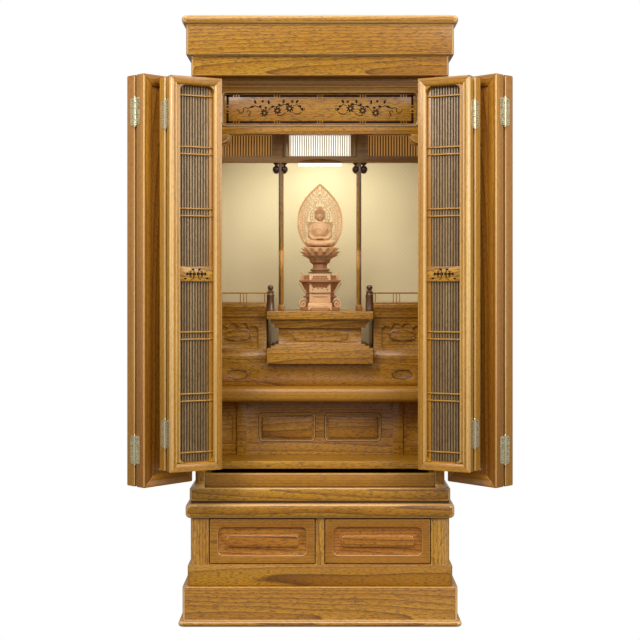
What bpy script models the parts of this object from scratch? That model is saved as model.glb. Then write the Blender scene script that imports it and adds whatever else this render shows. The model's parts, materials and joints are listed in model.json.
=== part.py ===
"""Household altar cabinet on a drawer base, in metres. Z is up, the front faces -Y and the floor is z = 0."""

import math

import bmesh
import bpy
from mathutils import Vector

for old in list(bpy.data.objects):
    bpy.data.objects.remove(old, do_unlink=True)

# Cabinet body
BODY_WIDTH = 0.534
BODY_DEPTH = 0.430
BODY_HEIGHT = 0.881
SIDE_BOARD = 0.020
BACK_BOARD = 0.012
GAP = 0.0003
CORNER_RADIUS = 0.010

# Base tiers from the floor up, each with its height and how far it stands out past the body
FOOT_HEIGHT = 0.013
FOOT_RADIUS = 0.006
FOOT_OVERHANG = 0.034
PLINTH_HEIGHT = 0.071
PLINTH_OVERHANG = 0.026
STEP_HEIGHT = 0.042
STEP_OVERHANG = 0.016
DRAWER_ZONE_HEIGHT = 0.101
DRAWER_ZONE_OVERHANG = 0.010
LEDGE_HEIGHT = 0.033
LEDGE_OVERHANG = 0.020
LEDGE_RADIUS = 0.009
REVEAL_HEIGHT = 0.003
REVEAL_OVERHANG = 0.004
FLOOR_HEIGHT = 0.029
FLOOR_OVERHANG = 0.012
FLOOR_RADIUS = 0.004
COVE_HEIGHT = 0.012
COVE_OVERHANG = 0.009
COVE_LIP = 0.0015

# Cornice tiers above the body
FRIEZE_HEIGHT = 0.043
FRIEZE_OVERHANG = 0.009
CROWN_HEIGHT = 0.065
CROWN_OVERHANG = 0.019
CAP_HEIGHT = 0.019
CAP_OVERHANG = 0.0275
CAP_RADIUS = 0.008

# Drawers
MULLION_WIDTH = 0.019
DRAWER_SIDE_RAIL = 0.040
DRAWER_SILL = 0.003
DRAWER_CLEARANCE = 0.002
DRAWER_LENGTH = 0.380
DRAWER_FRONT = 0.018
DRAWER_WALL = 0.008
DRAWER_FLOOR = 0.006
DRAWER_BOX_DROP = 0.012
DRAWER_RUNNER = 0.014
RING_BORDER = 0.017
RING_RADIUS = 0.012
RING_DEPTH = 0.003
RING_WIDTH = 0.018
FIELD_RADIUS = 0.008

# Pull-out tray in the slot above the floor board
TRAY_HEIGHT = 0.028
TRAY_CLEARANCE = 0.001
TRAY_LENGTH = 0.370
TRAY_LIP = 0.014
TRAY_RIM = 0.010
TRAY_DEEP = 0.006
TRAY_SLOT = 0.0354

# Shelves inside
LOWER_SHELF_THICK = 0.016
LOWER_SHELF_BACK = 0.025
LOWER_ROOM_HEIGHT = 0.1246
MIDDLE_SHELF_THICK = 0.032
MIDDLE_SHELF_BACK = 0.060
LOWER_PANEL_BACK = 0.130
LOWER_PANEL_THICK = 0.014
LOWER_FIELD_INNER = 0.0105
LOWER_FIELD_OUTER = 0.137
LOWER_FIELD_HALF = 0.0315
LOWER_FIELD_RING = 0.0085
LOWER_POST_INNER = 0.164
LOWER_POST_OUTER = 0.186
LOWER_END_INNER = 0.195
LOWER_END_OUTER = 0.232
CARVE = 0.002
CUSP_COUNT = 4

# Altar steps: riser, wings and dais
RISER_HEIGHT = 0.050
RISER_BACK = 0.115
RISER_OVAL_X = 0.183
RISER_OVAL_HALF = 0.022
RISER_OVAL_RISE = 0.010
WING_FRONT = 0.122
WING_INNER = 0.120
WING_BASE_HEIGHT = 0.025
WING_PANEL_HEIGHT = 0.075
WING_TOP_HEIGHT = 0.032
WING_MOULD = 0.012
WING_STILE = 0.018
WING_FIELD_EDGE = 0.009
CARTOUCHE_HALF = 0.028
CARTOUCHE_RISE = 0.012
DAIS_HALF = 0.118
DAIS_FRONT = 0.088
DAIS_DEPTH = 0.215
DAIS_HEIGHT = 0.1165
DAIS_SLAB = 0.018
DIE_INSET = 0.026
DIE_HEIGHT = 0.036
DAIS_FOOT = 0.034
DAIS_BEAD = 0.004
DAIS_STEPS = 0.0195
DAIS_OVAL_HALF = 0.060
DAIS_OVAL_RISE = 0.011
DAIS_LOBES = 5
DAIS_LOBE_RADIUS = 0.0077

# Railing on the wings
RAIL_HEIGHT = 0.026
RAIL_BAR = 0.004
RAIL_POST_COUNT = 8
NEWEL_HEIGHT = 0.058
NEWEL_RADIUS = 0.008
# Radius and drop from the top, both as shares of the newel's radius
NEWEL_TURNING = [(1.0, 2.6), (0.55, 2.4), (0.55, 1.9), (1.0, 1.0), (0.75, 0.3), (0.2, 0.0)]

# Canopy with the lamp band, carried by two pillars
CANOPY_BACK = 0.150
CANOPY_DEPTH = 0.016
CANOPY_DROP = 0.052
WALL_POST = 0.020
COLUMN_RADIUS = 0.0075
SCREEN_THICK = 0.0055
SIDE_BAY_SLATS = 19
CENTRE_BAY_SLATS = 27
LAMP_SLAT_WIDTH = 0.0028
BEAM_HEIGHT = 0.0145
BAND_HEIGHT = 0.048
CENTRE_BAY_HALF = 0.069
ARCH_HALF = 0.052
ARCH_RISE = 0.010
POST_WIDTH = 0.040
PILLAR_X = 0.088
PILLAR_WIDTH = 0.011
BALL_RADIUS = 0.0072
BALL_NECK = 0.008
NECK_HALF = 0.003
PILLAR_FOOT = 0.010

# Transom, lintel and head moulding
HEAD_HEIGHT = 0.0275
HEAD_BACK = 0.026
TRANSOM_HEIGHT = 0.076
TRANSOM_BACK = 0.040
TRANSOM_THICK = 0.012
TRANSOM_FRAME = 0.010
LINTEL_HEIGHT = 0.016
LINTEL_THICK = 0.018
BRACKET_LENGTH = 0.053
BRACKET_DROP = 0.026
CLOTH_THICK = 0.006

# Outer doors, two leaves a side
OUTER_THICK = 0.026
OUTER_BOTTOM_GAP = 0.013
OUTER_TOP_GAP = 0.009
OUTER_FRONT_GAP = 0.003
OUTER_CENTRE_GAP = 0.0015
FRAME_WIDTH = 0.025
FRAME_BEVEL = 0.007
PANEL_SINK = 0.005

# Inner lattice doors, two leaves a side, the free one narrower
INNER_THICK = 0.024
INNER_FREE_WIDTH = 0.113
INNER_BOTTOM_GAP = 0.050
INNER_TOP_GAP = 0.018
INNER_SIDE_GAP = 0.002
INNER_CENTRE_GAP = 0.0025
INNER_SINK = 0.0005
LEAF_STILE = 0.017
LEAF_RAIL = 0.018
OPENING_RADIUS = 0.012
SLAT_COUNT = 11
SLAT_WIDTH = 0.003
SLAT_DEPTH = 0.003
GAUZE_THICK = 0.0015
BAR_HEIGHT = 0.003
BAR_DEPTH = 0.0025
BAR_PAIR_SPACING = 0.015
PLATE_HEIGHT = 0.031
PLATE_DEPTH = 0.004
BAR_SPACING = 0.1275
END_BAR = 0.020
BAR_SINK = 0.003
BAR_TENON = 0.002
REBATE = 0.004

# Hinges
FOLD_GAP = 0.003
KNUCKLE_RADIUS = 0.0025
KNUCKLE_CLEARANCE = 0.0003
HINGE_LENGTH = 0.060
HINGE_PLATE = 0.0010
PLATE_LAP = 0.0008
HINGE_PLATE_WIDTH = 0.013
HINGE_FROM_END = 0.047

# How far the leaves stand open
OUTER_OPEN = 134.0
OUTER_FOLD = 180.0
INNER_OPEN = 136.0
INNER_FOLD = 162.0

# Enshrined figure
FIGURE_BACK = 0.180
PEDESTAL_HEIGHT = 0.1155
PEDESTAL_HALF = 0.049
LOTUS_HEIGHT = 0.0275
LOTUS_RADIUS = 0.045
FIGURE_HEIGHT = 0.087
HALO_HEIGHT = 0.146
HALO_HALF = 0.049
HALO_THICK = 0.004
HALO_BACK = 0.026
HALO_HOLES = 6
FIGURE_SET_FORWARD = 0.004
# Radius and height up the pedestal, as shares of its half width and height
PEDESTAL_TURNING = [
    (1.00, 0.00), (1.00, 0.05), (0.58, 0.07), (0.53, 0.24), (0.66, 0.27), (0.50, 0.30),
    (0.48, 0.36), (0.62, 0.40), (0.64, 0.52), (0.80, 0.55), (1.04, 0.56), (1.04, 0.60),
    (0.45, 0.61), (0.45, 0.75), (0.36, 0.77), (0.36, 0.89), (0.52, 1.00),
]
ROSETTE_X = 0.78
ROSETTE_FORWARD = 0.3
ROSETTE_RISE = 0.13
ROSETTE_RADIUS = 0.19
# Radius, height and petal wave of the lotus seat, as shares
SEAT_LEVELS = [(0.55, 0.0, 0.02), (0.86, 0.22, 0.06), (1.0, 0.62, 0.09), (0.93, 1.0, 0.05)]
PETALS = 12
# Height, half width and half depth of the robed figure, as shares of its height
FIGURE_LEVELS = [
    (0.00, 0.37, 0.25), (0.05, 0.41, 0.28), (0.14, 0.40, 0.27), (0.21, 0.31, 0.22),
    (0.27, 0.24, 0.18), (0.38, 0.22, 0.15), (0.48, 0.27, 0.15), (0.55, 0.30, 0.15),
    (0.60, 0.25, 0.13), (0.635, 0.11, 0.10), (0.66, 0.10, 0.09), (0.69, 0.12, 0.11),
    (0.74, 0.14, 0.135), (0.80, 0.145, 0.14), (0.86, 0.13, 0.13), (0.905, 0.09, 0.09),
    (0.93, 0.07, 0.07), (0.97, 0.06, 0.06), (1.00, 0.02, 0.02),
]
# Flame halo: height of its widest place, width at its foot, ripple, and the ring of holes
HALO_WIDEST = 0.35
HALO_FOOT = 0.45
HALO_RIPPLE = 0.05
HALO_RIPPLES = 6
HOLE_RING = 0.68
HOLE_RADIUS = 0.13
HOLE_LOW = 0.42
HOLE_SPREAD = 0.30

# Levels above the floor
foot_top = FOOT_HEIGHT
plinth_top = foot_top + PLINTH_HEIGHT
step_top = plinth_top + STEP_HEIGHT
drawer_zone_top = step_top + DRAWER_ZONE_HEIGHT
ledge_top = drawer_zone_top + LEDGE_HEIGHT
floor_top = ledge_top + REVEAL_HEIGHT + FLOOR_HEIGHT
body_top = floor_top + BODY_HEIGHT
lower_shelf_bottom = floor_top + TRAY_SLOT
lower_shelf_top = lower_shelf_bottom + LOWER_SHELF_THICK
middle_shelf_bottom = lower_shelf_top + LOWER_ROOM_HEIGHT
middle_shelf_top = middle_shelf_bottom + MIDDLE_SHELF_THICK
riser_top = middle_shelf_top + RISER_HEIGHT
wing_top = riser_top + WING_BASE_HEIGHT + WING_PANEL_HEIGHT + WING_TOP_HEIGHT
dais_top = riser_top + DAIS_HEIGHT
head_bottom = body_top - HEAD_HEIGHT
transom_bottom = head_bottom - TRANSOM_HEIGHT
lintel_bottom = transom_bottom - LINTEL_HEIGHT
canopy_bottom = lintel_bottom - CANOPY_DROP

# Plan: the body's front plane and its other faces
half_body = BODY_WIDTH / 2
half_opening = half_body - SIDE_BOARD
front = FOOT_OVERHANG / 2 - BODY_DEPTH / 2
back = front + BODY_DEPTH
inside_back = back - BACK_BOARD
half_inside = half_opening - GAP
drawer_front_y = front - DRAWER_ZONE_OVERHANG
slot_outer = half_body + DRAWER_ZONE_OVERHANG - DRAWER_SIDE_RAIL
drawer_slots = {
    "left_drawer": (-slot_outer, -MULLION_WIDTH / 2),
    "right_drawer": (MULLION_WIDTH / 2, slot_outer),
}

# Leaves: the hinge line of each, and the widths that fill the front and the opening
fold_stand = KNUCKLE_RADIUS + KNUCKLE_CLEARANCE
outer_bottom = floor_top + OUTER_BOTTOM_GAP
outer_top = body_top - OUTER_TOP_GAP
outer_width = (half_body - OUTER_CENTRE_GAP - FOLD_GAP) / 2
outer_pin_x = half_body + fold_stand
outer_pin_y = front - OUTER_FRONT_GAP / 2
inner_bottom = floor_top + INNER_BOTTOM_GAP
inner_top = body_top - INNER_TOP_GAP
inner_pin_x = half_opening - INNER_SIDE_GAP
inner_pin_y = front + INNER_SINK
inner_hung_width = inner_pin_x - INNER_CENTRE_GAP - INNER_FREE_WIDTH - FOLD_GAP

parts = bpy.data.collections.new("altar cabinet")
helpers = bpy.data.collections.new("cutters and joined shapes")
bpy.context.scene.collection.children.link(parts)
bpy.context.scene.collection.children.link(helpers)

# Finishes: base colour, roughness, metallic
FINISHES = {
    "lacquered zelkova": ((0.434, 0.213, 0.028), 0.32, 0.0),
    "redder door wood": ((0.376, 0.130, 0.014), 0.34, 0.0),
    "dark shadow moulding": ((0.090, 0.040, 0.015), 0.45, 0.0),
    "carved pale wood": ((0.694, 0.451, 0.231), 0.55, 0.0),
    "gold cream cloth": ((0.686, 0.617, 0.342), 0.80, 0.0),
    "paper lamp screen": ((0.900, 0.860, 0.700), 0.60, 0.0),
    "grey gauze": ((0.300, 0.290, 0.240), 0.80, 0.0),
    "antique brass": ((0.610, 0.515, 0.262), 0.38, 1.0),
}


def add_finish(piece, finish):
    colour, roughness, metallic = FINISHES[finish]
    material = bpy.data.materials.new(f"{piece.name} {finish}")
    material.use_nodes = True
    shader = material.node_tree.nodes["Principled BSDF"]
    shader.inputs["Base Color"].default_value = (*colour, 1.0)
    shader.inputs["Roughness"].default_value = roughness
    shader.inputs["Metallic"].default_value = metallic
    piece.data.materials.append(material)


def add_piece(name, shape, finish, parent=None):
    """Puts a bmesh in the scene as a named piece."""
    mesh = bpy.data.meshes.new(name)
    bmesh.ops.recalc_face_normals(shape, faces=shape.faces)
    shape.to_mesh(mesh)
    shape.free()
    piece = bpy.data.objects.new(name, mesh)
    parts.objects.link(piece)
    piece.parent = parent
    add_finish(piece, finish)
    return piece


def add_helper(name, shape, parent=None):
    """Puts a bmesh in the scene as a hidden cutter or a shape to join."""
    mesh = bpy.data.meshes.new(name)
    bmesh.ops.recalc_face_normals(shape, faces=shape.faces)
    shape.to_mesh(mesh)
    shape.free()
    helper = bpy.data.objects.new(name, mesh)
    helper.hide_render = True
    helper.display_type = "WIRE"
    helpers.objects.link(helper)
    helper.parent = parent
    return helper


def combine(piece, shape, operation, parent=None):
    """Cuts a shape from a piece, or joins it to the piece, with a live Boolean."""
    number = len(piece.modifiers) + 1
    helper = add_helper(f"{piece.name} {operation.lower()} {number}", shape, parent)
    boolean = piece.modifiers.new(helper.name, "BOOLEAN")
    boolean.operation = operation
    boolean.object = helper
    return helper


def cut(piece, shape, parent=None):
    return combine(piece, shape, "DIFFERENCE", parent)


def join(piece, shape, parent=None):
    return combine(piece, shape, "UNION", parent)


def box(low, high):
    """A box from its lowest to its highest corner."""
    return boxes([(low, high)])


def boxes(corners):
    """Boxes that don't touch each other, as one shape."""
    shape = bmesh.new()
    for low, high in corners:
        made = bmesh.ops.create_cube(shape, size=1.0)["verts"]
        low = Vector(low)
        high = Vector(high)
        bmesh.ops.scale(shape, vec=high - low, verts=made)
        bmesh.ops.translate(shape, vec=(low + high) / 2, verts=made)
    return shape


def prism(outline, start, end, axis):
    """An outline extruded along X, Y or Z; its points are the other two coordinates in order."""
    place = {
        "X": lambda a, b, c: (c, a, b),
        "Y": lambda a, b, c: (a, c, b),
        "Z": lambda a, b, c: (a, b, c),
    }[axis]
    shape = bmesh.new()
    face = shape.faces.new([shape.verts.new(place(a, b, start)) for a, b in outline])
    made = bmesh.ops.extrude_face_region(shape, geom=[face])["geom"]
    moved = [item for item in made if isinstance(item, bmesh.types.BMVert)]
    bmesh.ops.translate(shape, vec=place(0.0, 0.0, end - start), verts=moved)
    return shape


def loft(sections):
    """A closed body through rings of equal point count, capped at both ends."""
    shape = bmesh.new()
    rings = [[shape.verts.new(point) for point in section] for section in sections]
    for lower, upper in zip(rings, rings[1:]):
        for i in range(len(lower)):
            j = (i + 1) % len(lower)
            shape.faces.new((lower[i], lower[j], upper[j], upper[i]))
    shape.faces.new(rings[0])
    shape.faces.new(rings[-1])
    return shape


def arc(centre_a, centre_b, radius, first, last, steps):
    """Points along an arc, from one angle in degrees to another."""
    angles = [math.radians(first + (last - first) * i / steps) for i in range(steps + 1)]
    return [(centre_a + radius * math.cos(t), centre_b + radius * math.sin(t)) for t in angles]


def rounded_rectangle(low, high, radius, steps=3):
    (x0, y0), (x1, y1) = low, high
    return (
        arc(x1 - radius, y1 - radius, radius, 0, 90, steps)
        + arc(x0 + radius, y1 - radius, radius, 90, 180, steps)
        + arc(x0 + radius, y0 + radius, radius, 180, 270, steps)
        + arc(x1 - radius, y0 + radius, radius, 270, 360, steps)
    )


def tier_outline(overhang, z):
    """Plan of a tier: square at the back, rounded at the two front corners."""
    half = half_body + overhang
    near = front - overhang
    left_corner = arc(-half + CORNER_RADIUS, near + CORNER_RADIUS, CORNER_RADIUS, 180, 270, 3)
    right_corner = arc(half - CORNER_RADIUS, near + CORNER_RADIUS, CORNER_RADIUS, 270, 360, 3)
    plan = [(-half, back)] + left_corner + right_corner + [(half, back)]
    return [(x, y, z) for x, y in plan]


def tiers(profile):
    """A moulded block from its profile of (height, overhang) pairs."""
    return loft([tier_outline(overhang, z) for z, overhang in profile])


def nosing(bottom, top, overhang, radius, steps=3):
    """Profile of a board's front with both edges rounded, from its underside to its top."""
    lower = arc(overhang - radius, bottom + radius, radius, -90, 0, steps)
    upper = arc(overhang - radius, top - radius, radius, 0, 90, steps)
    return [(z, o) for o, z in lower + upper]


def turned(profile, centre, sides):
    """A round shape about a vertical line, from (radius, height) pairs that start and end off the axis."""
    sections = []
    for radius, z in profile:
        angles = [2 * math.pi * i / sides for i in range(sides)]
        ring = [(centre[0] + radius * math.cos(t), centre[1] + radius * math.sin(t), z) for t in angles]
        sections.append(ring)
    return loft(sections)


def ball(centre, radius):
    shape = bmesh.new()
    bmesh.ops.create_uvsphere(shape, u_segments=8, v_segments=6, radius=radius)
    bmesh.ops.translate(shape, vec=centre, verts=shape.verts)
    return shape


def framed_board(low, high, sides, frame, bevel, sink):
    """A board with a sunk panel inside a frame, on each side named by its outward direction."""
    shape = box(low, high)
    shape.normal_update()
    for side in sides:
        outward = Vector(side)
        face = max(shape.faces, key=lambda f: (round(f.normal.dot(outward), 3), f.calc_area()))
        bmesh.ops.inset_region(shape, faces=[face], thickness=frame, depth=0.0)
        bmesh.ops.inset_region(shape, faces=[face], thickness=bevel, depth=-sink)
    return shape


def add_base():
    plinth_profile = nosing(0.0, foot_top, FOOT_OVERHANG, FOOT_RADIUS)
    plinth_profile += [(foot_top + GAP, PLINTH_OVERHANG), (plinth_top, PLINTH_OVERHANG)]
    add_piece("plinth", tiers(plinth_profile), "lacquered zelkova")

    case = add_piece(
        "drawer_case",
        tiers(
            [
                (plinth_top + GAP, STEP_OVERHANG),
                (step_top, STEP_OVERHANG),
                (step_top + GAP, DRAWER_ZONE_OVERHANG),
                (drawer_zone_top, DRAWER_ZONE_OVERHANG),
            ]
        ),
        "lacquered zelkova",
    )
    slots = [
        (
            (low, front - FOOT_OVERHANG, step_top + DRAWER_SILL),
            (high, drawer_front_y + DRAWER_LENGTH + DRAWER_RUNNER, ledge_top),
        )
        for low, high in drawer_slots.values()
    ]
    cut(case, boxes(slots))

    ledge_profile = nosing(drawer_zone_top + GAP, ledge_top, LEDGE_OVERHANG, LEDGE_RADIUS)
    add_piece("ledge_board", tiers(ledge_profile), "lacquered zelkova")

    floor_profile = [
        (ledge_top + GAP, REVEAL_OVERHANG),
        (ledge_top + REVEAL_HEIGHT, REVEAL_OVERHANG),
    ]
    floor_profile += nosing(ledge_top + REVEAL_HEIGHT + GAP, floor_top, FLOOR_OVERHANG, FLOOR_RADIUS)
    floor = add_piece("floor_board", tiers(floor_profile), "lacquered zelkova")
    cove = [(floor_top - CARVE, COVE_OVERHANG)]
    for turn in (0, 30, 60, 90):
        rise = COVE_HEIGHT * (1 - math.cos(math.radians(turn)))
        stand = COVE_LIP + (COVE_OVERHANG - COVE_LIP) * (1 - math.sin(math.radians(turn)))
        cove.append((floor_top + rise, stand))
    join(floor, tiers(cove))
    above = floor_top + 2 * COVE_HEIGHT
    body_room = ((-half_body - GAP, front - GAP, floor_top), (half_body + GAP, back + COVE_HEIGHT, above))
    cut(floor, box(*body_room))
    tray_way = ((-half_opening, front - FOOT_OVERHANG, floor_top), (half_opening, front + CARVE, above))
    cut(floor, box(*tray_way))


def add_body():
    for side, name in ((-1, "left_side"), (1, "right_side")):
        inner, outer = sorted((side * half_opening, side * half_body))
        low = (inner, front, floor_top + GAP)
        high = (outer, back, body_top)
        add_piece(name, box(low, high), "lacquered zelkova")
    low = (-half_inside, inside_back, floor_top + GAP)
    high = (half_inside, back, body_top)
    add_piece("back_board", box(low, high), "lacquered zelkova")

    crown_bottom = body_top + FRIEZE_HEIGHT
    cap_bottom = crown_bottom + CROWN_HEIGHT
    cornice_profile = [
        (body_top + GAP, FRIEZE_OVERHANG),
        (crown_bottom, FRIEZE_OVERHANG),
        (crown_bottom + GAP, CROWN_OVERHANG),
        (cap_bottom - CAP_HEIGHT / 4, CROWN_OVERHANG),
    ]
    cornice_profile += nosing(cap_bottom, cap_bottom + CAP_HEIGHT, CAP_OVERHANG, CAP_RADIUS)
    add_piece("cornice", tiers(cornice_profile), "lacquered zelkova")


def ring_outline(low, high, inset, radius):
    return rounded_rectangle(
        (low[0] + inset, low[1] + inset), (high[0] - inset, high[1] - inset), radius
    )


def add_drawer(name, low_x, high_x, slide):
    """A drawer open at the top, its front carved with a sunk ring round a raised field."""
    x0 = low_x + DRAWER_CLEARANCE
    x1 = high_x - DRAWER_CLEARANCE
    z0 = step_top + DRAWER_SILL + DRAWER_CLEARANCE
    z1 = drawer_zone_top - DRAWER_CLEARANCE
    y0 = drawer_front_y
    y1 = drawer_front_y + DRAWER_LENGTH
    drawer = add_piece(name, box((x0, y0, z0), (x1, y1, z1)), "lacquered zelkova", slide)
    room_low = (x0 + DRAWER_WALL, y0 + DRAWER_FRONT, z0 + DRAWER_FLOOR)
    room_high = (x1 - DRAWER_WALL, y1 - DRAWER_WALL, z1 + DRAWER_WALL)
    cut(drawer, box(room_low, room_high), slide)
    trim_low = (x0 - DRAWER_WALL, y0 + DRAWER_FRONT, z1 - DRAWER_BOX_DROP)
    trim_high = (x1 + DRAWER_WALL, y1 + DRAWER_WALL, z1 + DRAWER_WALL)
    cut(drawer, box(trim_low, trim_high), slide)
    outer = ring_outline((x0, z0), (x1, z1), RING_BORDER, RING_RADIUS)
    inner = ring_outline((x0, z0), (x1, z1), RING_BORDER + RING_WIDTH, FIELD_RADIUS)
    cut(drawer, prism(outer, y0 - RING_DEPTH, y0 + RING_DEPTH, "Y"), slide)
    join(drawer, prism(inner, y0, y0 + 2 * RING_DEPTH, "Y"), slide)


def add_tray(slide):
    z0 = floor_top + TRAY_CLEARANCE
    z1 = z0 + TRAY_HEIGHT
    half = half_opening - TRAY_CLEARANCE
    y1 = front + TRAY_LENGTH
    tray = add_piece(
        "offering_tray", box((-half, front, z0), (half, y1, z1)), "lacquered zelkova", slide
    )
    room_low = (-half + TRAY_RIM, front + TRAY_LIP, z1 - TRAY_DEEP)
    room_high = (half - TRAY_RIM, y1 - TRAY_RIM, z1 + TRAY_DEEP)
    cut(tray, box(room_low, room_high), slide)


def add_shelves():
    low = (-half_inside, front + LOWER_SHELF_BACK, lower_shelf_bottom)
    high = (half_inside, inside_back - GAP, lower_shelf_top)
    add_piece("lower_shelf", box(low, high), "lacquered zelkova")

    low = (-half_inside, front + MIDDLE_SHELF_BACK, middle_shelf_bottom)
    high = (half_inside, inside_back - GAP, middle_shelf_top)
    shelf = box(low, high)
    edge = [e for e in shelf.edges if all(abs(v.co.y - low[1]) < GAP for v in e.verts)]
    edge = [e for e in edge if abs(e.verts[0].co.x - e.verts[1].co.x) > GAP]
    bmesh.ops.bevel(shelf, geom=edge, offset=MIDDLE_SHELF_THICK / 3, segments=2, affect="EDGES")
    add_piece("middle_shelf", shelf, "lacquered zelkova")


def add_lower_panel():
    """The wall between the shelves: two framed panels, two posts and a cusped panel at each end."""
    y0 = front + LOWER_PANEL_BACK
    z0 = lower_shelf_top + GAP
    z1 = middle_shelf_bottom - GAP
    panel = add_piece(
        "lower_panel",
        box((-half_inside, y0, z0), (half_inside, y0 + LOWER_PANEL_THICK, z1)),
        "lacquered zelkova",
    )
    centre_z = (z0 + z1) / 2
    for side in (-1, 1):
        near, far = sorted((side * LOWER_FIELD_INNER, side * LOWER_FIELD_OUTER))
        low = (near, centre_z - LOWER_FIELD_HALF)
        high = (far, centre_z + LOWER_FIELD_HALF)
        cut(panel, prism(ring_outline(low, high, 0.0, FIELD_RADIUS), y0 - GAP, y0 + CARVE, "Y"))
        raised = ring_outline(low, high, LOWER_FIELD_RING, FIELD_RADIUS / 2)
        join(panel, prism(raised, y0 - CARVE, y0 + 2 * CARVE, "Y"))
        near, far = sorted((side * LOWER_POST_INNER, side * LOWER_POST_OUTER))
        join(panel, box((near, y0 - 2 * CARVE, z0), (far, y0 + CARVE, z1)))
        near, far = sorted((side * LOWER_END_INNER, side * LOWER_END_OUTER))
        arch = cusped_outline(near, far, centre_z - LOWER_FIELD_HALF, centre_z + LOWER_FIELD_HALF)
        cut(panel, prism(arch, y0 - GAP, y0 + CARVE, "Y"))


def cusped_outline(left, right, bottom, top):
    """A panel outline whose head is drawn in scallops, as on temple furniture."""
    width = right - left
    cusp = width / CUSP_COUNT / 2
    points = [(right, bottom), (right, top - cusp)]
    for i in range(CUSP_COUNT):
        centre = right - cusp * (2 * i + 1)
        rise = cusp * math.sin(math.pi * (i + 0.5) / CUSP_COUNT)
        points += arc(centre, top - 2 * cusp + rise, cusp, 20, 160, 3)
    points += [(left, top - cusp), (left, bottom)]
    return points


def add_riser():
    """The stepped bench behind the middle shelf, with a carved oval in each half."""
    y0 = front + RISER_BACK
    z0 = middle_shelf_top + GAP
    riser = add_piece(
        "altar_riser",
        box((-half_inside, y0, z0), (half_inside, inside_back - GAP, riser_top)),
        "lacquered zelkova",
    )
    centre_z = (z0 + riser_top) / 2
    for side in (-1, 1):
        centre = side * RISER_OVAL_X
        low = (centre - RISER_OVAL_HALF, centre_z - RISER_OVAL_RISE)
        high = (centre + RISER_OVAL_HALF, centre_z + RISER_OVAL_RISE)
        oval = rounded_rectangle(low, high, RISER_OVAL_RISE - GAP)
        cut(riser, prism(oval, y0 - GAP, y0 + CARVE, "Y"))


def add_wing(name, side):
    """A side stand: base moulding, panel with a cusped cartouche and a heavy top moulding."""
    y0 = front + WING_FRONT
    y1 = inside_back - CLOTH_THICK - 2 * GAP
    base_top = riser_top + WING_BASE_HEIGHT
    panel_top = base_top + WING_PANEL_HEIGHT
    step = WING_MOULD / 3
    profile = [
        (y0 - WING_MOULD / 2, riser_top + GAP),
        (y0 - WING_MOULD / 2, base_top - step * 2),
        (y0 - step / 2, base_top - step),
        (y0, base_top),
        (y0, panel_top),
        (y0 - step, panel_top + step),
        (y0 - step, panel_top + step * 2),
        (y0 - WING_MOULD + step / 2, wing_top - WING_TOP_HEIGHT / 3),
        (y0 - WING_MOULD, wing_top - WING_TOP_HEIGHT / 4),
        (y0 - WING_MOULD, wing_top),
        (y1, wing_top),
        (y1, riser_top + GAP),
    ]
    near, far = sorted((side * WING_INNER, side * half_inside))
    wing = add_piece(name, prism(profile, near, far, "X"), "lacquered zelkova")
    near, far = sorted((side * (WING_INNER + WING_STILE), side * (half_inside - WING_STILE)))
    field = cusped_outline(near, far, base_top + WING_FIELD_EDGE, panel_top - WING_FIELD_EDGE)
    cut(wing, prism(field, y0 - GAP, y0 + 2 * CARVE, "Y"))
    centre = (near + far) / 2
    middle = (base_top + panel_top) / 2
    low = (centre - CARTOUCHE_HALF, middle - CARTOUCHE_RISE)
    high = (centre + CARTOUCHE_HALF, middle + CARTOUCHE_RISE)
    flower = rounded_rectangle(low, high, CARTOUCHE_RISE - GAP)
    join(wing, prism(flower, y0 + CARVE, y0 + 3 * CARVE, "Y"))


def dais_section(z, half, near, far):
    return [(-half, far, z), (-half, near, z), (half, near, z), (half, far, z)]


def add_dais():
    """The central stepped dais: lower steps, waist with a carved oval, upper steps and a slab."""
    near = front + DAIS_FRONT
    far = near + DAIS_DEPTH
    waist_bottom = dais_top - DAIS_SLAB - DAIS_STEPS - DIE_HEIGHT
    waist_top = waist_bottom + DIE_HEIGHT
    slab_bottom = dais_top - DAIS_SLAB
    levels = [
        (riser_top + GAP, 0.0),
        (riser_top + DAIS_FOOT, 0.0),
        (riser_top + DAIS_FOOT + GAP, DIE_INSET / 3),
        (waist_bottom - DAIS_BEAD, DIE_INSET / 3),
        (waist_bottom - DAIS_BEAD + GAP, DIE_INSET * 2 / 3),
        (waist_bottom, DIE_INSET * 2 / 3),
        (waist_bottom + GAP, DIE_INSET),
        (waist_top, DIE_INSET),
        (waist_top + GAP, DIE_INSET * 2 / 3),
        (waist_top + DAIS_BEAD, DIE_INSET * 2 / 3),
        (slab_bottom - DAIS_BEAD, DIE_INSET / 3),
        (slab_bottom, DIE_INSET / 3),
        (slab_bottom + GAP, 0.0),
        (dais_top, 0.0),
    ]
    shape = loft([dais_section(z, DAIS_HALF - inset, near + inset, far) for z, inset in levels])
    dais = add_piece("dais", shape, "lacquered zelkova")
    die_y = near + DIE_INSET
    middle = (waist_bottom + waist_top) / 2
    oval = rounded_rectangle(
        (-DAIS_OVAL_HALF, middle - DAIS_OVAL_RISE),
        (DAIS_OVAL_HALF, middle + DAIS_OVAL_RISE),
        DAIS_OVAL_RISE - GAP,
    )
    join(dais, prism(oval, die_y - CARVE, die_y + CARVE, "Y"))
    for i in range(DAIS_LOBES):
        centre = DAIS_OVAL_HALF * (2 * i - DAIS_LOBES + 1) / (DAIS_LOBES + 1)
        lobe = turned_flat(centre, middle, DAIS_LOBE_RADIUS)
        cut(dais, prism(lobe, die_y - 2 * CARVE, die_y - CARVE / 3, "Y"))


def turned_flat(centre_x, centre_z, radius, sides=8):
    """A round outline on a vertical face."""
    return arc(centre_x, centre_z, radius, 0, 360 - 360 / sides, sides - 1)


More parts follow.
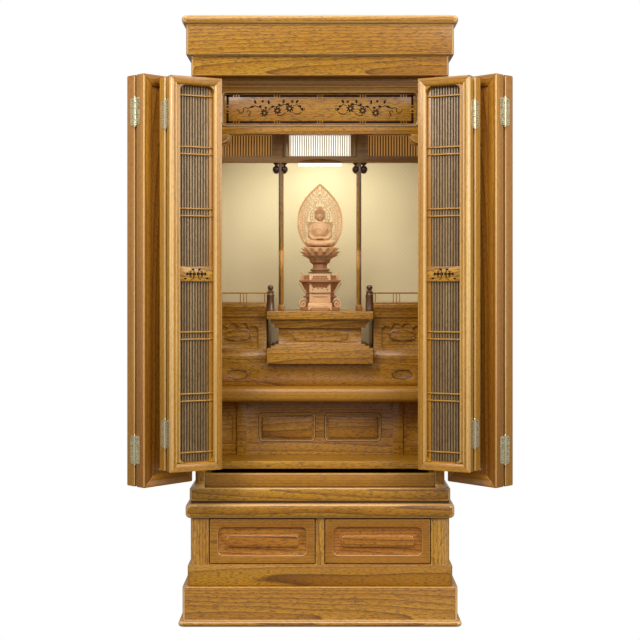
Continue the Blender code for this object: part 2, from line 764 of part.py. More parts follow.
def add_railing(name, side):
    """Top rail, foot rail, thin uprights and a newel with a ball at the inner end."""
    y = front + WING_FRONT - WING_MOULD / 2
    z0 = wing_top + GAP
    z1 = z0 + RAIL_HEIGHT
    near = side * (WING_INNER - NEWEL_RADIUS - GAP)
    far = side * (half_inside - GAP)
    x0, x1 = sorted((near, far))
    half = RAIL_BAR / 2
    railing = add_piece(
        name, box((x0, y - half, z1 - RAIL_BAR), (x1, y + half, z1)), "lacquered zelkova"
    )
    foot_x0, foot_x1 = sorted((side * (WING_INNER + GAP), far))
    join(railing, box((foot_x0, y - half, z0), (foot_x1, y + half, z0 + RAIL_BAR)))
    spacing = (foot_x1 - foot_x0 - RAIL_BAR) / (RAIL_POST_COUNT - 1)
    posts = []
    for i in range(RAIL_POST_COUNT):
        x = foot_x0 + half + spacing * i
        low = (x - half / 2, y - half / 2, z0 + half)
        high = (x + half / 2, y + half / 2, z1 - half)
        posts.append((low, high))
    join(railing, boxes(posts))
    newel_bottom = dais_top + GAP
    newel_top = newel_bottom + NEWEL_HEIGHT
    newel = [(NEWEL_RADIUS, newel_bottom)]
    newel += [(NEWEL_RADIUS * r, newel_top - NEWEL_RADIUS * drop) for r, drop in NEWEL_TURNING]
    join(railing, turned(newel, (near, y), 8))


def slatted_board(low, high, count, slat_width, slat_depth):
    """A thin board with upright slats standing out of its front."""
    (x0, y0, z0), (x1, y1, z1) = low, high
    pitch = (x1 - x0) / (count + 1)
    outline = [(x0, y1), (x1, y1), (x1, y0 + slat_depth)]
    for i in reversed(range(count)):
        left = x0 + pitch * (i + 1) - slat_width / 2
        right = left + slat_width
        outline += [(right, y0 + slat_depth), (right, y0), (left, y0), (left, y0 + slat_depth)]
    outline.append((x0, y0 + slat_depth))
    return prism(outline, z0, z1, "Z")


def add_canopy():
    """A beam and a top rail with posts between three lamp bays, and balls hanging by each pillar."""
    y0 = front + CANOPY_BACK
    y1 = y0 + CANOPY_DEPTH
    beam_top = canopy_bottom + BEAM_HEIGHT
    band_top = beam_top + BAND_HEIGHT
    rail_top = band_top + BEAM_HEIGHT
    frame = add_piece(
        "canopy_frame",
        box((-half_inside, y0, canopy_bottom), (half_inside, y1, beam_top)),
        "lacquered zelkova",
    )
    join(frame, box((-half_inside, y0, band_top), (half_inside, y1, rail_top)))
    posts = []
    columns = []
    for side in (-1, 1):
        inner = side * CENTRE_BAY_HALF
        outer = side * (CENTRE_BAY_HALF + POST_WIDTH)
        x0, x1 = sorted((inner, outer))
        posts.append(((x0, y0, beam_top - CARVE), (x1, y1, band_top + CARVE)))
        x0, x1 = sorted((side * (half_inside - WALL_POST), side * half_inside))
        posts.append(((x0, y0, beam_top - CARVE), (x1, y1, band_top + CARVE)))
        columns.append(side * (CENTRE_BAY_HALF + COLUMN_RADIUS))
    join(frame, boxes(posts))
    for x in columns:
        shaft = [(COLUMN_RADIUS, beam_top - CARVE), (COLUMN_RADIUS, band_top + CARVE)]
        join(frame, turned(shaft, (x, y0 + CARVE), 8))
    arch = arc(0.0, canopy_bottom - CARVE, ARCH_RISE, 0, 180, 8)
    arch = [(x * ARCH_HALF / ARCH_RISE, z) for x, z in arch]
    cut(frame, prism(arch, y0 - CARVE, y0 + CANOPY_DEPTH / 2, "Y"))
    for side in (-1, 1):
        for away in (-1, 1):
            x = side * PILLAR_X + away * (PILLAR_WIDTH / 2 + BALL_RADIUS + GAP)
            centre_z = canopy_bottom - BALL_NECK - BALL_RADIUS
            low = (x - NECK_HALF, y0 + CANOPY_DEPTH / 2 - NECK_HALF, centre_z)
            high = (x + NECK_HALF, y0 + CANOPY_DEPTH / 2 + NECK_HALF, canopy_bottom + CARVE)
            join(frame, box(low, high))
            join(frame, ball((x, y0 + CANOPY_DEPTH / 2, centre_z), BALL_RADIUS))

    bays = {
        "left_lamp_screen": (-half_inside + WALL_POST, -CENTRE_BAY_HALF - POST_WIDTH, SIDE_BAY_SLATS),
        "centre_lamp_screen": (-CENTRE_BAY_HALF, CENTRE_BAY_HALF, CENTRE_BAY_SLATS),
        "right_lamp_screen": (CENTRE_BAY_HALF + POST_WIDTH, half_inside - WALL_POST, SIDE_BAY_SLATS),
    }
    for name, (x0, x1, slats) in bays.items():
        low = (x0 + GAP, y0 + COLUMN_RADIUS + CARVE + GAP, beam_top + GAP)
        high = (x1 - GAP, low[1] + SCREEN_THICK, band_top - GAP)
        screen = slatted_board(low, high, slats, LAMP_SLAT_WIDTH, SLAT_DEPTH)
        add_piece(name, screen, "paper lamp screen")


def add_pillar(name, side):
    """A slim square pillar from the dais to the canopy, with a foot and a cap."""
    centre = (side * PILLAR_X, front + CANOPY_BACK + CANOPY_DEPTH / 2)
    half = PILLAR_WIDTH / 2
    wide = half + CARVE
    bottom = dais_top + GAP
    top = canopy_bottom - GAP
    profile = [
        (wide, bottom),
        (wide, bottom + PILLAR_FOOT),
        (half, bottom + PILLAR_FOOT + CARVE),
        (half, top),
    ]
    sections = []
    for r, z in profile:
        corners = ((-1, -1), (1, -1), (1, 1), (-1, 1))
        sections.append([(centre[0] + r * a, centre[1] + r * b, z) for a, b in corners])
    add_piece(name, loft(sections), "lacquered zelkova")


def add_head():
    """The stepped head moulding, the transom panel, the lintel with its curled brackets and the cloth."""
    y0 = front + HEAD_BACK
    step_y = (TRANSOM_BACK - HEAD_BACK) / 2
    step_z = HEAD_HEIGHT / 3
    head = [
        (y0, body_top),
        (y0, body_top - step_z),
        (y0 + step_y, body_top - step_z),
        (y0 + step_y, body_top - 2 * step_z),
        (y0 + 2 * step_y, body_top - 2 * step_z),
        (y0 + 2 * step_y, head_bottom),
        (y0 + 2 * step_y + TRANSOM_THICK, head_bottom),
        (y0 + 2 * step_y + TRANSOM_THICK, body_top),
    ]
    add_piece(
        "head_moulding", prism(head, -half_inside, half_inside, "X"), "dark shadow moulding"
    )

    y0 = front + TRANSOM_BACK
    low = (-half_inside, y0, transom_bottom + GAP)
    high = (half_inside, y0 + TRANSOM_THICK, head_bottom - GAP)
    board = framed_board(low, high, [(0, -1, 0)], TRANSOM_FRAME, FRAME_BEVEL, PANEL_SINK)
    add_piece("transom_panel", board, "lacquered zelkova")

    low = (-half_inside, y0, lintel_bottom)
    high = (half_inside, y0 + LINTEL_THICK, transom_bottom)
    lintel = add_piece("lintel", box(low, high), "lacquered zelkova")
    for side in (-1, 1):
        wall = side * half_inside
        tip = side * (half_inside - BRACKET_LENGTH)
        curl = BRACKET_DROP / 2
        direction = 1 if side < 0 else -1
        outline = [(wall, lintel_bottom + CARVE), (wall, lintel_bottom - BRACKET_DROP)]
        hook = arc(0.0, 0.0, curl, -100, 60, 5)
        hook = [(tip - direction * curl + direction * a, lintel_bottom - curl + b) for a, b in hook]
        neck = [(wall + direction * (BRACKET_LENGTH - 2 * curl) * 0.6, lintel_bottom - curl)]
        outline += neck + hook + [(tip, lintel_bottom + CARVE)]
        join(lintel, prism(outline, y0 + CARVE, y0 + LINTEL_THICK - CARVE, "Y"))

    low = (-half_inside, inside_back - GAP - CLOTH_THICK, riser_top + GAP)
    high = (half_inside, inside_back - GAP, head_bottom)
    add_piece("cloth_panel", box(low, high), "gold cream cloth")


def add_figure():
    """The enshrined figure on its lotus seat and tiered pedestal, with a pierced flame halo."""
    centre = (0.0, front + FIGURE_BACK)
    bottom = dais_top + GAP
    profile = [(PEDESTAL_HALF * r, bottom + PEDESTAL_HEIGHT * z) for r, z in PEDESTAL_TURNING]
    pedestal = add_piece("figure_pedestal", turned(profile, centre, 12), "carved pale wood")
    for side in (-1, 1):
        x = side * PEDESTAL_HALF * ROSETTE_X
        y = centre[1] - PEDESTAL_HALF * ROSETTE_FORWARD
        z = bottom + PEDESTAL_HEIGHT * ROSETTE_RISE
        join(pedestal, ball((x, y, z), PEDESTAL_HALF * ROSETTE_RADIUS))

    seat_bottom = bottom + PEDESTAL_HEIGHT + GAP
    sections = []
    for share, height, wave in SEAT_LEVELS:
        ring = []
        for i in range(PETALS * 2):
            angle = math.pi * i / PETALS
            radius = LOTUS_RADIUS * share * (1 + wave * (1 if i % 2 else -1))
            x = centre[0] + radius * math.cos(angle)
            y = centre[1] + radius * math.sin(angle)
            ring.append((x, y, seat_bottom + LOTUS_HEIGHT * height))
        sections.append(ring)
    add_piece("lotus_seat", loft(sections), "carved pale wood")

    figure_bottom = seat_bottom + LOTUS_HEIGHT + GAP
    sections = []
    for height, wide, deep in FIGURE_LEVELS:
        ring = []
        for i in range(12):
            angle = 2 * math.pi * i / 12
            x = centre[0] + FIGURE_HEIGHT * wide * math.cos(angle)
            y = centre[1] - FIGURE_SET_FORWARD + FIGURE_HEIGHT * deep * math.sin(angle)
            ring.append((x, y, figure_bottom + FIGURE_HEIGHT * height))
        sections.append(ring)
    add_piece("enshrined_figure", loft(sections), "carved pale wood")

    steps = 18
    right_edge = [halo_point(i / steps) for i in range(steps)]
    outline = right_edge + [(0.0, 1.0)] + [(-x, s) for x, s in reversed(right_edge)]
    outline = [(x, figure_bottom + HALO_HEIGHT * s) for x, s in outline]
    y0 = centre[1] + HALO_BACK
    halo = add_piece(
        "flame_halo", prism(outline, y0, y0 + HALO_THICK, "Y"), "carved pale wood"
    )
    for i in range(HALO_HOLES):
        angle = math.pi * (i + 0.5) / HALO_HOLES
        x = HALO_HALF * HOLE_RING * math.cos(angle)
        z = figure_bottom + HALO_HEIGHT * (HOLE_LOW + HOLE_SPREAD * math.sin(angle))
        hole = turned_flat(x, z, HALO_HALF * HOLE_RADIUS)
        cut(halo, prism(hole, y0 - HALO_THICK, y0 + 2 * HALO_THICK, "Y"))


def halo_point(share):
    """Half-width of the flame at a share of its height, rippled along the edge."""
    if share < HALO_WIDEST:
        swell = math.sin(math.pi / 2 * share / HALO_WIDEST) ** 0.5
        width = HALO_FOOT + (1 - HALO_FOOT) * swell
    else:
        width = math.cos(math.pi / 2 * ((share - HALO_WIDEST) / (1 - HALO_WIDEST)) ** 1.4)
    ripple = 1.0 + HALO_RIPPLE * math.cos(2 * math.pi * HALO_RIPPLES * share)
    return HALO_HALF * width * ripple / (1 + HALO_RIPPLE), share


def add_axis(name, location, angle, parent=None):
    """An empty on a joint's axis, turned to the leaf's rest angle."""
    axis = bpy.data.objects.new(name, None)
    parts.objects.link(axis)
    axis.parent = parent
    axis.location = location
    axis.rotation_euler = (0.0, 0.0, math.radians(angle))
    return axis


def across(inward, x0, x1):
    """Two distances from a hinge line towards the middle, as X in rising order."""
    return sorted((inward * x0, inward * x1))


def add_outer_leaf(name, axis, inward, start, near_y):
    """A solid leaf with a mitred frame round a sunk panel on both faces."""
    x0, x1 = across(inward, start, start + outer_width)
    low = (x0, near_y, outer_bottom)
    high = (x1, near_y + OUTER_THICK, outer_top)
    faces = [(0, -1, 0), (0, 1, 0)]
    board = framed_board(low, high, faces, FRAME_WIDTH, FRAME_BEVEL, PANEL_SINK)
    add_piece(name, board, "lacquered zelkova", axis)


def add_inner_leaf(name, axis, inward, start, width, near_y):
    """A lattice leaf: frame with round-cornered opening, cross bars and a middle plate."""
    x0, x1 = across(inward, start, start + width)
    low = (x0, near_y, inner_bottom)
    high = (x1, near_y + INNER_THICK, inner_top)
    leaf = add_piece(name, box(low, high), "redder door wood", axis)
    open_low = (x0 + LEAF_STILE, inner_bottom + LEAF_RAIL)
    open_high = (x1 - LEAF_STILE, inner_top - LEAF_RAIL)
    outline = rounded_rectangle(open_low, open_high, OPENING_RADIUS)
    far_y = near_y + INNER_THICK + REBATE
    cut(leaf, prism(outline, near_y - REBATE, far_y, "Y"), axis)
    rebate_y = near_y + BAR_SINK + BAR_DEPTH + GAP
    rebate_low = (open_low[0] - REBATE, rebate_y, open_low[1] - REBATE)
    rebate_high = (open_high[0] + REBATE, far_y, open_high[1] + REBATE)
    cut(leaf, box(rebate_low, rebate_high), axis)

    middle = (inner_bottom + inner_top) / 2
    offsets = [open_high[1] - END_BAR - middle]
    for row in (1, 2):
        offsets += [BAR_SPACING * row - BAR_PAIR_SPACING / 2, BAR_SPACING * row + BAR_PAIR_SPACING / 2]
    heights = [(middle - PLATE_HEIGHT / 2, middle + PLATE_HEIGHT / 2)]
    for offset in offsets:
        for z in (middle - offset, middle + offset):
            heights.append((z - BAR_HEIGHT / 2, z + BAR_HEIGHT / 2))
    bar_x0 = open_low[0] - BAR_TENON
    bar_x1 = open_high[0] + BAR_TENON
    bar_y0 = near_y + BAR_SINK
    bar_y1 = bar_y0 + BAR_DEPTH
    bars = [((bar_x0, bar_y0, z0), (bar_x1, bar_y1, z1)) for z0, z1 in heights]
    join(leaf, boxes(bars), axis)

    screen_y0 = rebate_y + GAP
    screen_low = (rebate_low[0] + GAP, screen_y0, rebate_low[2] + GAP)
    screen_high = (rebate_high[0] - GAP, screen_y0 + SLAT_DEPTH + GAUZE_THICK, rebate_high[2] - GAP)
    screen = slatted_board(screen_low, screen_high, SLAT_COUNT, SLAT_WIDTH, SLAT_DEPTH)
    add_piece(f"{name}_screen", screen, "grey gauze", axis)


def add_hinge(name, axis, pin, plate_low, plate_high, bottom):
    """A butt hinge's knuckle round its pin, with the plate that is screwed to one piece."""
    knuckle = turned(
        [(KNUCKLE_RADIUS, bottom), (KNUCKLE_RADIUS, bottom + HINGE_LENGTH)], pin, 8
    )
    hinge = add_piece(name, knuckle, "antique brass", axis)
    low = (plate_low[0], plate_low[1], bottom)
    high = (plate_high[0], plate_high[1], bottom + HINGE_LENGTH)
    join(hinge, box(low, high), axis)


def hinge_heights(bottom, top):
    return {"lower": bottom + HINGE_FROM_END, "upper": top - HINGE_FROM_END - HINGE_LENGTH}


def add_outer_doors(side_name, side):
    """The two solid leaves of one side: one hung on the body, one folded on its outer face."""
    inward = -side
    turn = side * OUTER_OPEN
    body_pin = add_axis(
        f"{side_name} outer hinge", (side * outer_pin_x, outer_pin_y, 0.0), turn
    )
    leaf_y = -OUTER_FRONT_GAP / 2 - OUTER_THICK
    add_outer_leaf(f"{side_name}_outer_hung_leaf", body_pin, inward, fold_stand, leaf_y)
    edge = fold_stand + outer_width
    fold_x = edge + FOLD_GAP / 2
    fold_y = leaf_y - fold_stand
    fold_pin = add_axis(
        f"{side_name} outer fold", (inward * fold_x, fold_y, 0.0), side * OUTER_FOLD, body_pin
    )
    add_outer_leaf(f"{side_name}_outer_free_leaf", fold_pin, inward, FOLD_GAP / 2, fold_stand)

    for place, z in hinge_heights(outer_bottom, outer_top).items():
        x0, x1 = across(inward, edge + GAP, edge + GAP + HINGE_PLATE)
        add_hinge(
            f"{side_name}_outer_fold_hinge_{place}",
            body_pin,
            (inward * fold_x, fold_y),
            (x0, fold_y + PLATE_LAP),
            (x1, leaf_y + HINGE_PLATE_WIDTH),
            z,
        )
        x0, x1 = sorted((side * outer_pin_x, side * (half_body - HINGE_PLATE_WIDTH)))
        add_hinge(
            f"{side_name}_outer_body_hinge_{place}",
            None,
            (side * outer_pin_x, outer_pin_y),
            (x0, front - GAP - HINGE_PLATE),
            (x1, front - GAP),
            z,
        )


def add_inner_doors(side_name, side):
    """The two lattice leaves of one side: one hung in the opening, one folded on its inner face."""
    inward = -side
    turn = side * INNER_OPEN
    body_pin = add_axis(
        f"{side_name} inner hinge", (side * inner_pin_x, inner_pin_y, 0.0), turn
    )
    add_inner_leaf(f"{side_name}_inner_hung_leaf", body_pin, inward, 0.0, inner_hung_width, 0.0)
    fold_x = inner_hung_width + FOLD_GAP / 2
    fold_y = INNER_THICK + fold_stand
    fold_pin = add_axis(
        f"{side_name} inner fold", (inward * fold_x, fold_y, 0.0), -side * INNER_FOLD, body_pin
    )
    leaf_y = -fold_stand - INNER_THICK
    free_leaf = f"{side_name}_inner_free_leaf"
    add_inner_leaf(free_leaf, fold_pin, inward, FOLD_GAP / 2, INNER_FREE_WIDTH, leaf_y)

    for place, z in hinge_heights(inner_bottom, inner_top).items():
        edge = inner_hung_width + GAP
        x0, x1 = across(inward, edge, edge + HINGE_PLATE)
        add_hinge(
            f"{side_name}_inner_fold_hinge_{place}",
            body_pin,
            (inward * fold_x, fold_y),
            (x0, INNER_THICK - HINGE_PLATE_WIDTH),
            (x1, fold_y - PLATE_LAP),
            z,
        )


add_base()
add_body()
for drawer_name, (slot_low, slot_high) in drawer_slots.items():
    drawer_axis = add_axis(f"{drawer_name} slide", (0.0, 0.0, 0.0), 0.0)
    add_drawer(drawer_name, slot_low, slot_high, drawer_axis)
tray_axis = add_axis("tray slide", (0.0, 0.0, 0.0), 0.0)
add_tray(tray_axis)
add_shelves()
add_lower_panel()
add_riser()
add_dais()
add_canopy()
add_head()
add_figure()
for side_name, side in (("left", -1), ("right", 1)):
    add_wing(f"{side_name}_wing", side)
    add_railing(f"{side_name}_railing", side)
    add_pillar(f"{side_name}_pillar", side)
    add_outer_doors(side_name, side)
    add_inner_doors(side_name, side)
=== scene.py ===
import json
import math
import random

import bpy
from mathutils import Matrix, Vector


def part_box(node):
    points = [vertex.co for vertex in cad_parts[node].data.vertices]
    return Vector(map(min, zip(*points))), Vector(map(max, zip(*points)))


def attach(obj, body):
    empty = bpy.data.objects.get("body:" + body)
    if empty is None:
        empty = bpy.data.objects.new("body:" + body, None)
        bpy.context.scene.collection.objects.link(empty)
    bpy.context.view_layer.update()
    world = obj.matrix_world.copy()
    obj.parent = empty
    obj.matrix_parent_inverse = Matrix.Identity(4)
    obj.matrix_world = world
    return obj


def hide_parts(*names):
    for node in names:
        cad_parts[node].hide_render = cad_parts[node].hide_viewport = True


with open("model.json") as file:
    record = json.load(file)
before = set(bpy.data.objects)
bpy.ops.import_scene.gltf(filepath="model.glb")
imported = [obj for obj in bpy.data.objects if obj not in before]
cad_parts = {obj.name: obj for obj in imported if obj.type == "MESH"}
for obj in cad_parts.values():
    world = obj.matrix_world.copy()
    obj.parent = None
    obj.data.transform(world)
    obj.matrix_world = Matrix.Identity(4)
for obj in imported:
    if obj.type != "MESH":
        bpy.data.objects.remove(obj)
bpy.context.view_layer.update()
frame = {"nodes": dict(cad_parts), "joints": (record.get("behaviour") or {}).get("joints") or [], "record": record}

nodes = frame["nodes"]
joints = {joint["name"]: joint for joint in frame["joints"]}
bodyOf = {node: body for body, members in frame["record"]["behaviour"]["bodies"].items() for node in members}
mm = 0.001
random.seed(7)


# Colours and nodes

def hexColour(code):
    # sRGB hex to the linear colour that a shader takes
    parts = [int(code[i:i + 2], 16) / 255 for i in (1, 3, 5)]
    return [c / 12.92 if c <= 0.04045 else ((c + 0.055) / 1.055) ** 2.4 for c in parts] + [1.0]


def addNode(tree, kind, settings=None, links=None):
    node = tree.nodes.new(kind)
    for name, value in (settings or {}).items():
        if isinstance(name, str) and hasattr(node, name):
            setattr(node, name, value)
        else:
            node.inputs[name].default_value = value
    for name, socket in (links or {}).items():
        tree.links.new(socket, node.inputs[name])
    return node


def addRamp(tree, socket, stops):
    ramp = addNode(tree, "ShaderNodeValToRGB", links={"Fac": socket})
    elements = ramp.color_ramp.elements
    while len(elements) < len(stops):
        elements.new(0.5)
    for element, (place, colour) in zip(elements, stops):
        element.position = place
        element.color = hexColour(colour) if isinstance(colour, str) else (*[colour] * 3, 1.0)
    return ramp.outputs["Color"]


def newMaterial(name, settings=None):
    material = bpy.data.materials.new(name)
    material.use_nodes = True
    tree = material.node_tree
    shader = tree.nodes["Principled BSDF"]
    for socket, value in (settings or {}).items():
        shader.inputs[socket].default_value = hexColour(value) if isinstance(value, str) else value
    return material, tree, shader


def lacqueredWood(name, look):
    # Plain-sawn timber: growth rings about a pith line behind the face, then open pores, then satin lacquer
    material, tree, shader = newMaterial(name, {"IOR": 1.46, "Coat Weight": look["coat"], "Coat Roughness": 0.14})
    place = addNode(tree, "ShaderNodeAttribute", {"attribute_name": "grainPlace"}).outputs["Vector"]
    slow = addNode(tree, "ShaderNodeMapping", {"Scale": (1, 1, 0.10)}, {"Vector": place})
    wander = addNode(tree, "ShaderNodeTexNoise", {"Scale": 1 / (look["wanderMm"] * mm), "Detail": 2.0,
                     "Roughness": 0.45}, {"Vector": slow.outputs["Vector"]})
    wanderMove = addNode(tree, "ShaderNodeVectorMath", {"operation": "MULTIPLY_ADD", 1: [look["wander"] * mm * 2] * 3,
                         2: [-look["wander"] * mm] * 3}, {0: wander.outputs["Color"]})
    bent = addNode(tree, "ShaderNodeVectorMath", {"operation": "ADD"}, {0: place, 1: wanderMove.outputs["Vector"]})
    flat = addNode(tree, "ShaderNodeVectorMath", {"operation": "MULTIPLY", 1: (1, 1, look["taper"])},
                   {0: bent.outputs["Vector"]})
    radius = addNode(tree, "ShaderNodeVectorMath", {"operation": "LENGTH"}, {0: flat.outputs["Vector"]})
    count = addNode(tree, "ShaderNodeMath", {"operation": "DIVIDE", 1: look["ringMm"] * mm},
                    {0: radius.outputs["Value"]})
    ring = addNode(tree, "ShaderNodeMath", {"operation": "FRACT"}, {0: count.outputs[0]})
    ringTone = addRamp(tree, ring.outputs[0], look["ringStops"])
    tone = addNode(tree, "ShaderNodeTexNoise", {"Scale": 1 / (look["toneMm"] * mm), "Detail": 2.0},
                   {"Vector": slow.outputs["Vector"]})
    broad = addRamp(tree, tone.outputs["Fac"], [(0.30, look["shade"]), (0.70, "#FFFFFF")])
    base = addNode(tree, "ShaderNodeMix", {"data_type": "RGBA", "blend_type": "MULTIPLY", 0: look["toneShare"]},
                   {6: ringTone, 7: broad})
    drawn = addNode(tree, "ShaderNodeMapping", {"Scale": (1, 1, look["poreStretch"])}, {"Vector": place})
    pores = addNode(tree, "ShaderNodeTexNoise", {"Scale": 1 / (look["poreMm"] * mm), "Detail": 2.0,
                    "Roughness": 0.6}, {"Vector": drawn.outputs["Vector"]})
    poreMask = addRamp(tree, pores.outputs["Fac"], [(0.50, 0.0), (0.62, 1.0)])
    poreShare = addNode(tree, "ShaderNodeMath", {"operation": "MULTIPLY", 1: look["poreShare"]}, {0: poreMask})
    colour = addNode(tree, "ShaderNodeMix", {"data_type": "RGBA", 7: hexColour(look["pore"])},
                     {0: poreShare.outputs[0], 6: base.outputs[2]})
    tree.links.new(colour.outputs[2], shader.inputs["Base Color"])
    rough = addNode(tree, "ShaderNodeMapRange", {"To Min": look["roughness"] - 0.04,
                    "To Max": look["roughness"] + 0.10}, {"Value": pores.outputs["Fac"]})
    tree.links.new(rough.outputs["Result"], shader.inputs["Roughness"])
    bump = addNode(tree, "ShaderNodeBump", {"Strength": look["relief"], "Distance": 0.15 * mm, "invert": True},
                   {"Height": poreMask})
    tree.links.new(bump.outputs["Normal"], shader.inputs["Normal"])
    return material


# Zelkova, plain sawn, stained honey brown under satin lacquer: wide figure, fine brown ring lines, open pores
zelkova = {
    "ringMm": 6.5, "wanderMm": 70, "wander": 16, "taper": 0.055, "toneMm": 130, "toneShare": 0.6,
    "ringStops": [(0.0, "#BC8A22"), (0.60, "#B07D1D"), (0.86, "#A06D18"), (0.96, "#744A12"), (1.0, "#BC8A22")],
    "shade": "#C79F70", "poreMm": 1.25, "poreStretch": 0.13, "poreShare": 0.72, "pore": "#4E300F",
    "roughness": 0.36, "relief": 0.2, "coat": 0.22,
}
# The leaves' sunk panels and the drawer fronts took the stain redder
redderWood = dict(zelkova, ringStops=[(0.0, "#BC8020"), (0.60, "#B1751D"), (0.84, "#9E6416"), (0.95, "#6C400F"),
                                      (1.0, "#BC8020")], shade="#CB9D68", pore="#4C2A0D")
# Narrow strips inside: straight, finer grain
stripWood = dict(zelkova, ringMm=3.0, wander=4, taper=0.02, toneMm=60)
# The leaves' frames were cut from quiet, close-grained lengths
quietWood = dict(zelkova, ringMm=4.5, wander=5, taper=0.012, toneMm=90, poreShare=0.45,
                 ringStops=[(0.0, "#B78423"), (0.70, "#B07D20"), (0.95, "#94651A"), (1.0, "#B78423")])
quietRedder = dict(quietWood, ringStops=[(0.0, "#AD771F"), (0.70, "#A56F1C"), (0.95, "#895716"), (1.0, "#AD771F")])
# Painted light: paler wood laid on rounded edges as a painted highlight, and on shaded parts that the lamps don't reach
paintedLightWood = dict(quietWood, ringStops=[(0.0, "#DDB878"), (0.70, "#D6AF6C"), (0.95, "#C39A58"), (1.0, "#DDB878")],
                  pore="#9A7238", coat=0.5)
# Fine lattice slats, waxed and dustier than the frame
slatWood = dict(stripWood, ringStops=[(0.0, "#9A8058"), (0.70, "#917850"), (1.0, "#816943")], pore="#5A452A", coat=0.1)
# The canopy's hanging balls: dark rosewood, polished
finialWood = dict(zelkova, ringStops=[(0.0, "#54301F"), (0.50, "#492819"), (0.93, "#2C160D"), (1.0, "#54301F")],
                  ringMm=2.0, wander=1.5, pore="#1D0E08", roughness=0.24, coat=0.6)
# Dark waxed umber: the newels' own wood, and painted shade on the pillars' shadow side and in the stand's dark lines
umberWood = dict(stripWood, ringStops=[(0.0, "#74522F"), (0.50, "#694928"), (0.93, "#432C17"), (1.0, "#74522F")],
                 pore="#22140A", roughness=0.28, coat=0.5)
# Pale boxwood-like carving timber, cut and left matt
carvingWood = dict(zelkova, ringStops=[(0.0, "#DDB587"), (0.50, "#D8AE7E"), (0.93, "#C99B6A"), (1.0, "#DDB587")],
                   shade="#EAD9C2", pore="#B98B5E", poreShare=0.18, ringMm=2.6, wander=2.0, roughness=0.5, coat=0.05)

# Carving timber, darker: the pedestal's turned core and the discs in its foot scrolls
umberPaleWood = dict(carvingWood, ringStops=[(0.0, "#A87449"), (1.0, "#9A673E")])

materials = {key: lacqueredWood(name, look) for key, name, look in (
    ("zelkova", "lacquered zelkova", zelkova),
    ("redder", "lacquered zelkova, redder stain", redderWood),
    ("strip", "straight-grained zelkova strip", stripWood),
    ("finial", "polished rosewood", finialWood),
    ("quiet", "close-grained zelkova", quietWood),
    ("quietRedder", "close-grained zelkova, redder stain", quietRedder),
    ("paintedLight", "zelkova painted pale for light", paintedLightWood),
    ("slatWood", "waxed lattice slat", slatWood),
    ("umber", "umber waxed strip", umberWood),
    ("carving", "pale carving timber, matt", carvingWood),
    ("umberPale", "darker carving timber", umberPaleWood))}

# Black lacquer inlay, flush and rubbed matt: it gives the dark line of the border and vines
materials["inlay"] = newMaterial("black lacquer inlay", {"Base Color": "#23140A", "Roughness": 0.6,
                                                         "Specular IOR Level": 0.1})[0]


def bandScale(spacingMm):
    # A wave texture's scale for bands that far apart: at scale 1 it runs through 20 radians in a metre
    return 2 * math.pi / 20 / (spacingMm * mm)


def brocadeCloth():
    # Woven gold-cream silk: a small lozenge figure 9 mm apart over 1.2 mm threads, coarser than real so that it shows
    material, tree, shader = newMaterial("gold cream brocade", {"Roughness": 0.7, "Sheen Weight": 0.3,
                                                               "Sheen Tint": "#F5E9C4"})
    place = addNode(tree, "ShaderNodeTexCoord").outputs["Object"]
    turned = addNode(tree, "ShaderNodeMapping", {"Rotation": (0, math.radians(45), 0)}, {"Vector": place})
    figure = addNode(tree, "ShaderNodeTexVoronoi", {"Scale": 1 / (9 * mm), "Randomness": 0.0},
                     {"Vector": turned.outputs["Vector"]})
    figureTone = addRamp(tree, figure.outputs["Distance"], [(0.30, "#E0DDC0"), (0.42, "#DDDABC")])
    threads = addNode(tree, "ShaderNodeTexWave", {"Scale": bandScale(1.2), "bands_direction": "Z",
                      "Distortion": 0.6}, {"Vector": place})
    weave = addRamp(tree, threads.outputs["Fac"], [(0.0, "#EFE7D0"), (1.0, "#FFFFFF")])
    colour = addNode(tree, "ShaderNodeMix", {"data_type": "RGBA", "blend_type": "MULTIPLY", 0: 1.0},
                     {6: figureTone, 7: weave})
    tree.links.new(colour.outputs[2], shader.inputs["Base Color"])
    bump = addNode(tree, "ShaderNodeBump", {"Strength": 0.3, "Distance": 0.2 * mm}, {"Height": threads.outputs["Fac"]})
    tree.links.new(bump.outputs["Normal"], shader.inputs["Normal"])
    return material


def backedGauze():
    # Plain-woven brown gauze behind the slats: 0.9 mm threads with dark pinholes
    material, tree, shader = newMaterial("brown gauze", {"Roughness": 0.8})
    place = addNode(tree, "ShaderNodeAttribute", {"attribute_name": "grainPlace"}).outputs["Vector"]
    warp, weft = [addNode(tree, "ShaderNodeTexWave", {"Scale": bandScale(0.9), "bands_direction": way},
                          {"Vector": place}) for way in ("X", "Z")]
    both = addNode(tree, "ShaderNodeMath", {"operation": "MULTIPLY"}, {0: warp.outputs["Fac"], 1: weft.outputs["Fac"]})
    tree.links.new(addRamp(tree, both.outputs[0], [(0.0, "#2A1C10"), (1.0, "#7A6648")]), shader.inputs["Base Color"])
    return material


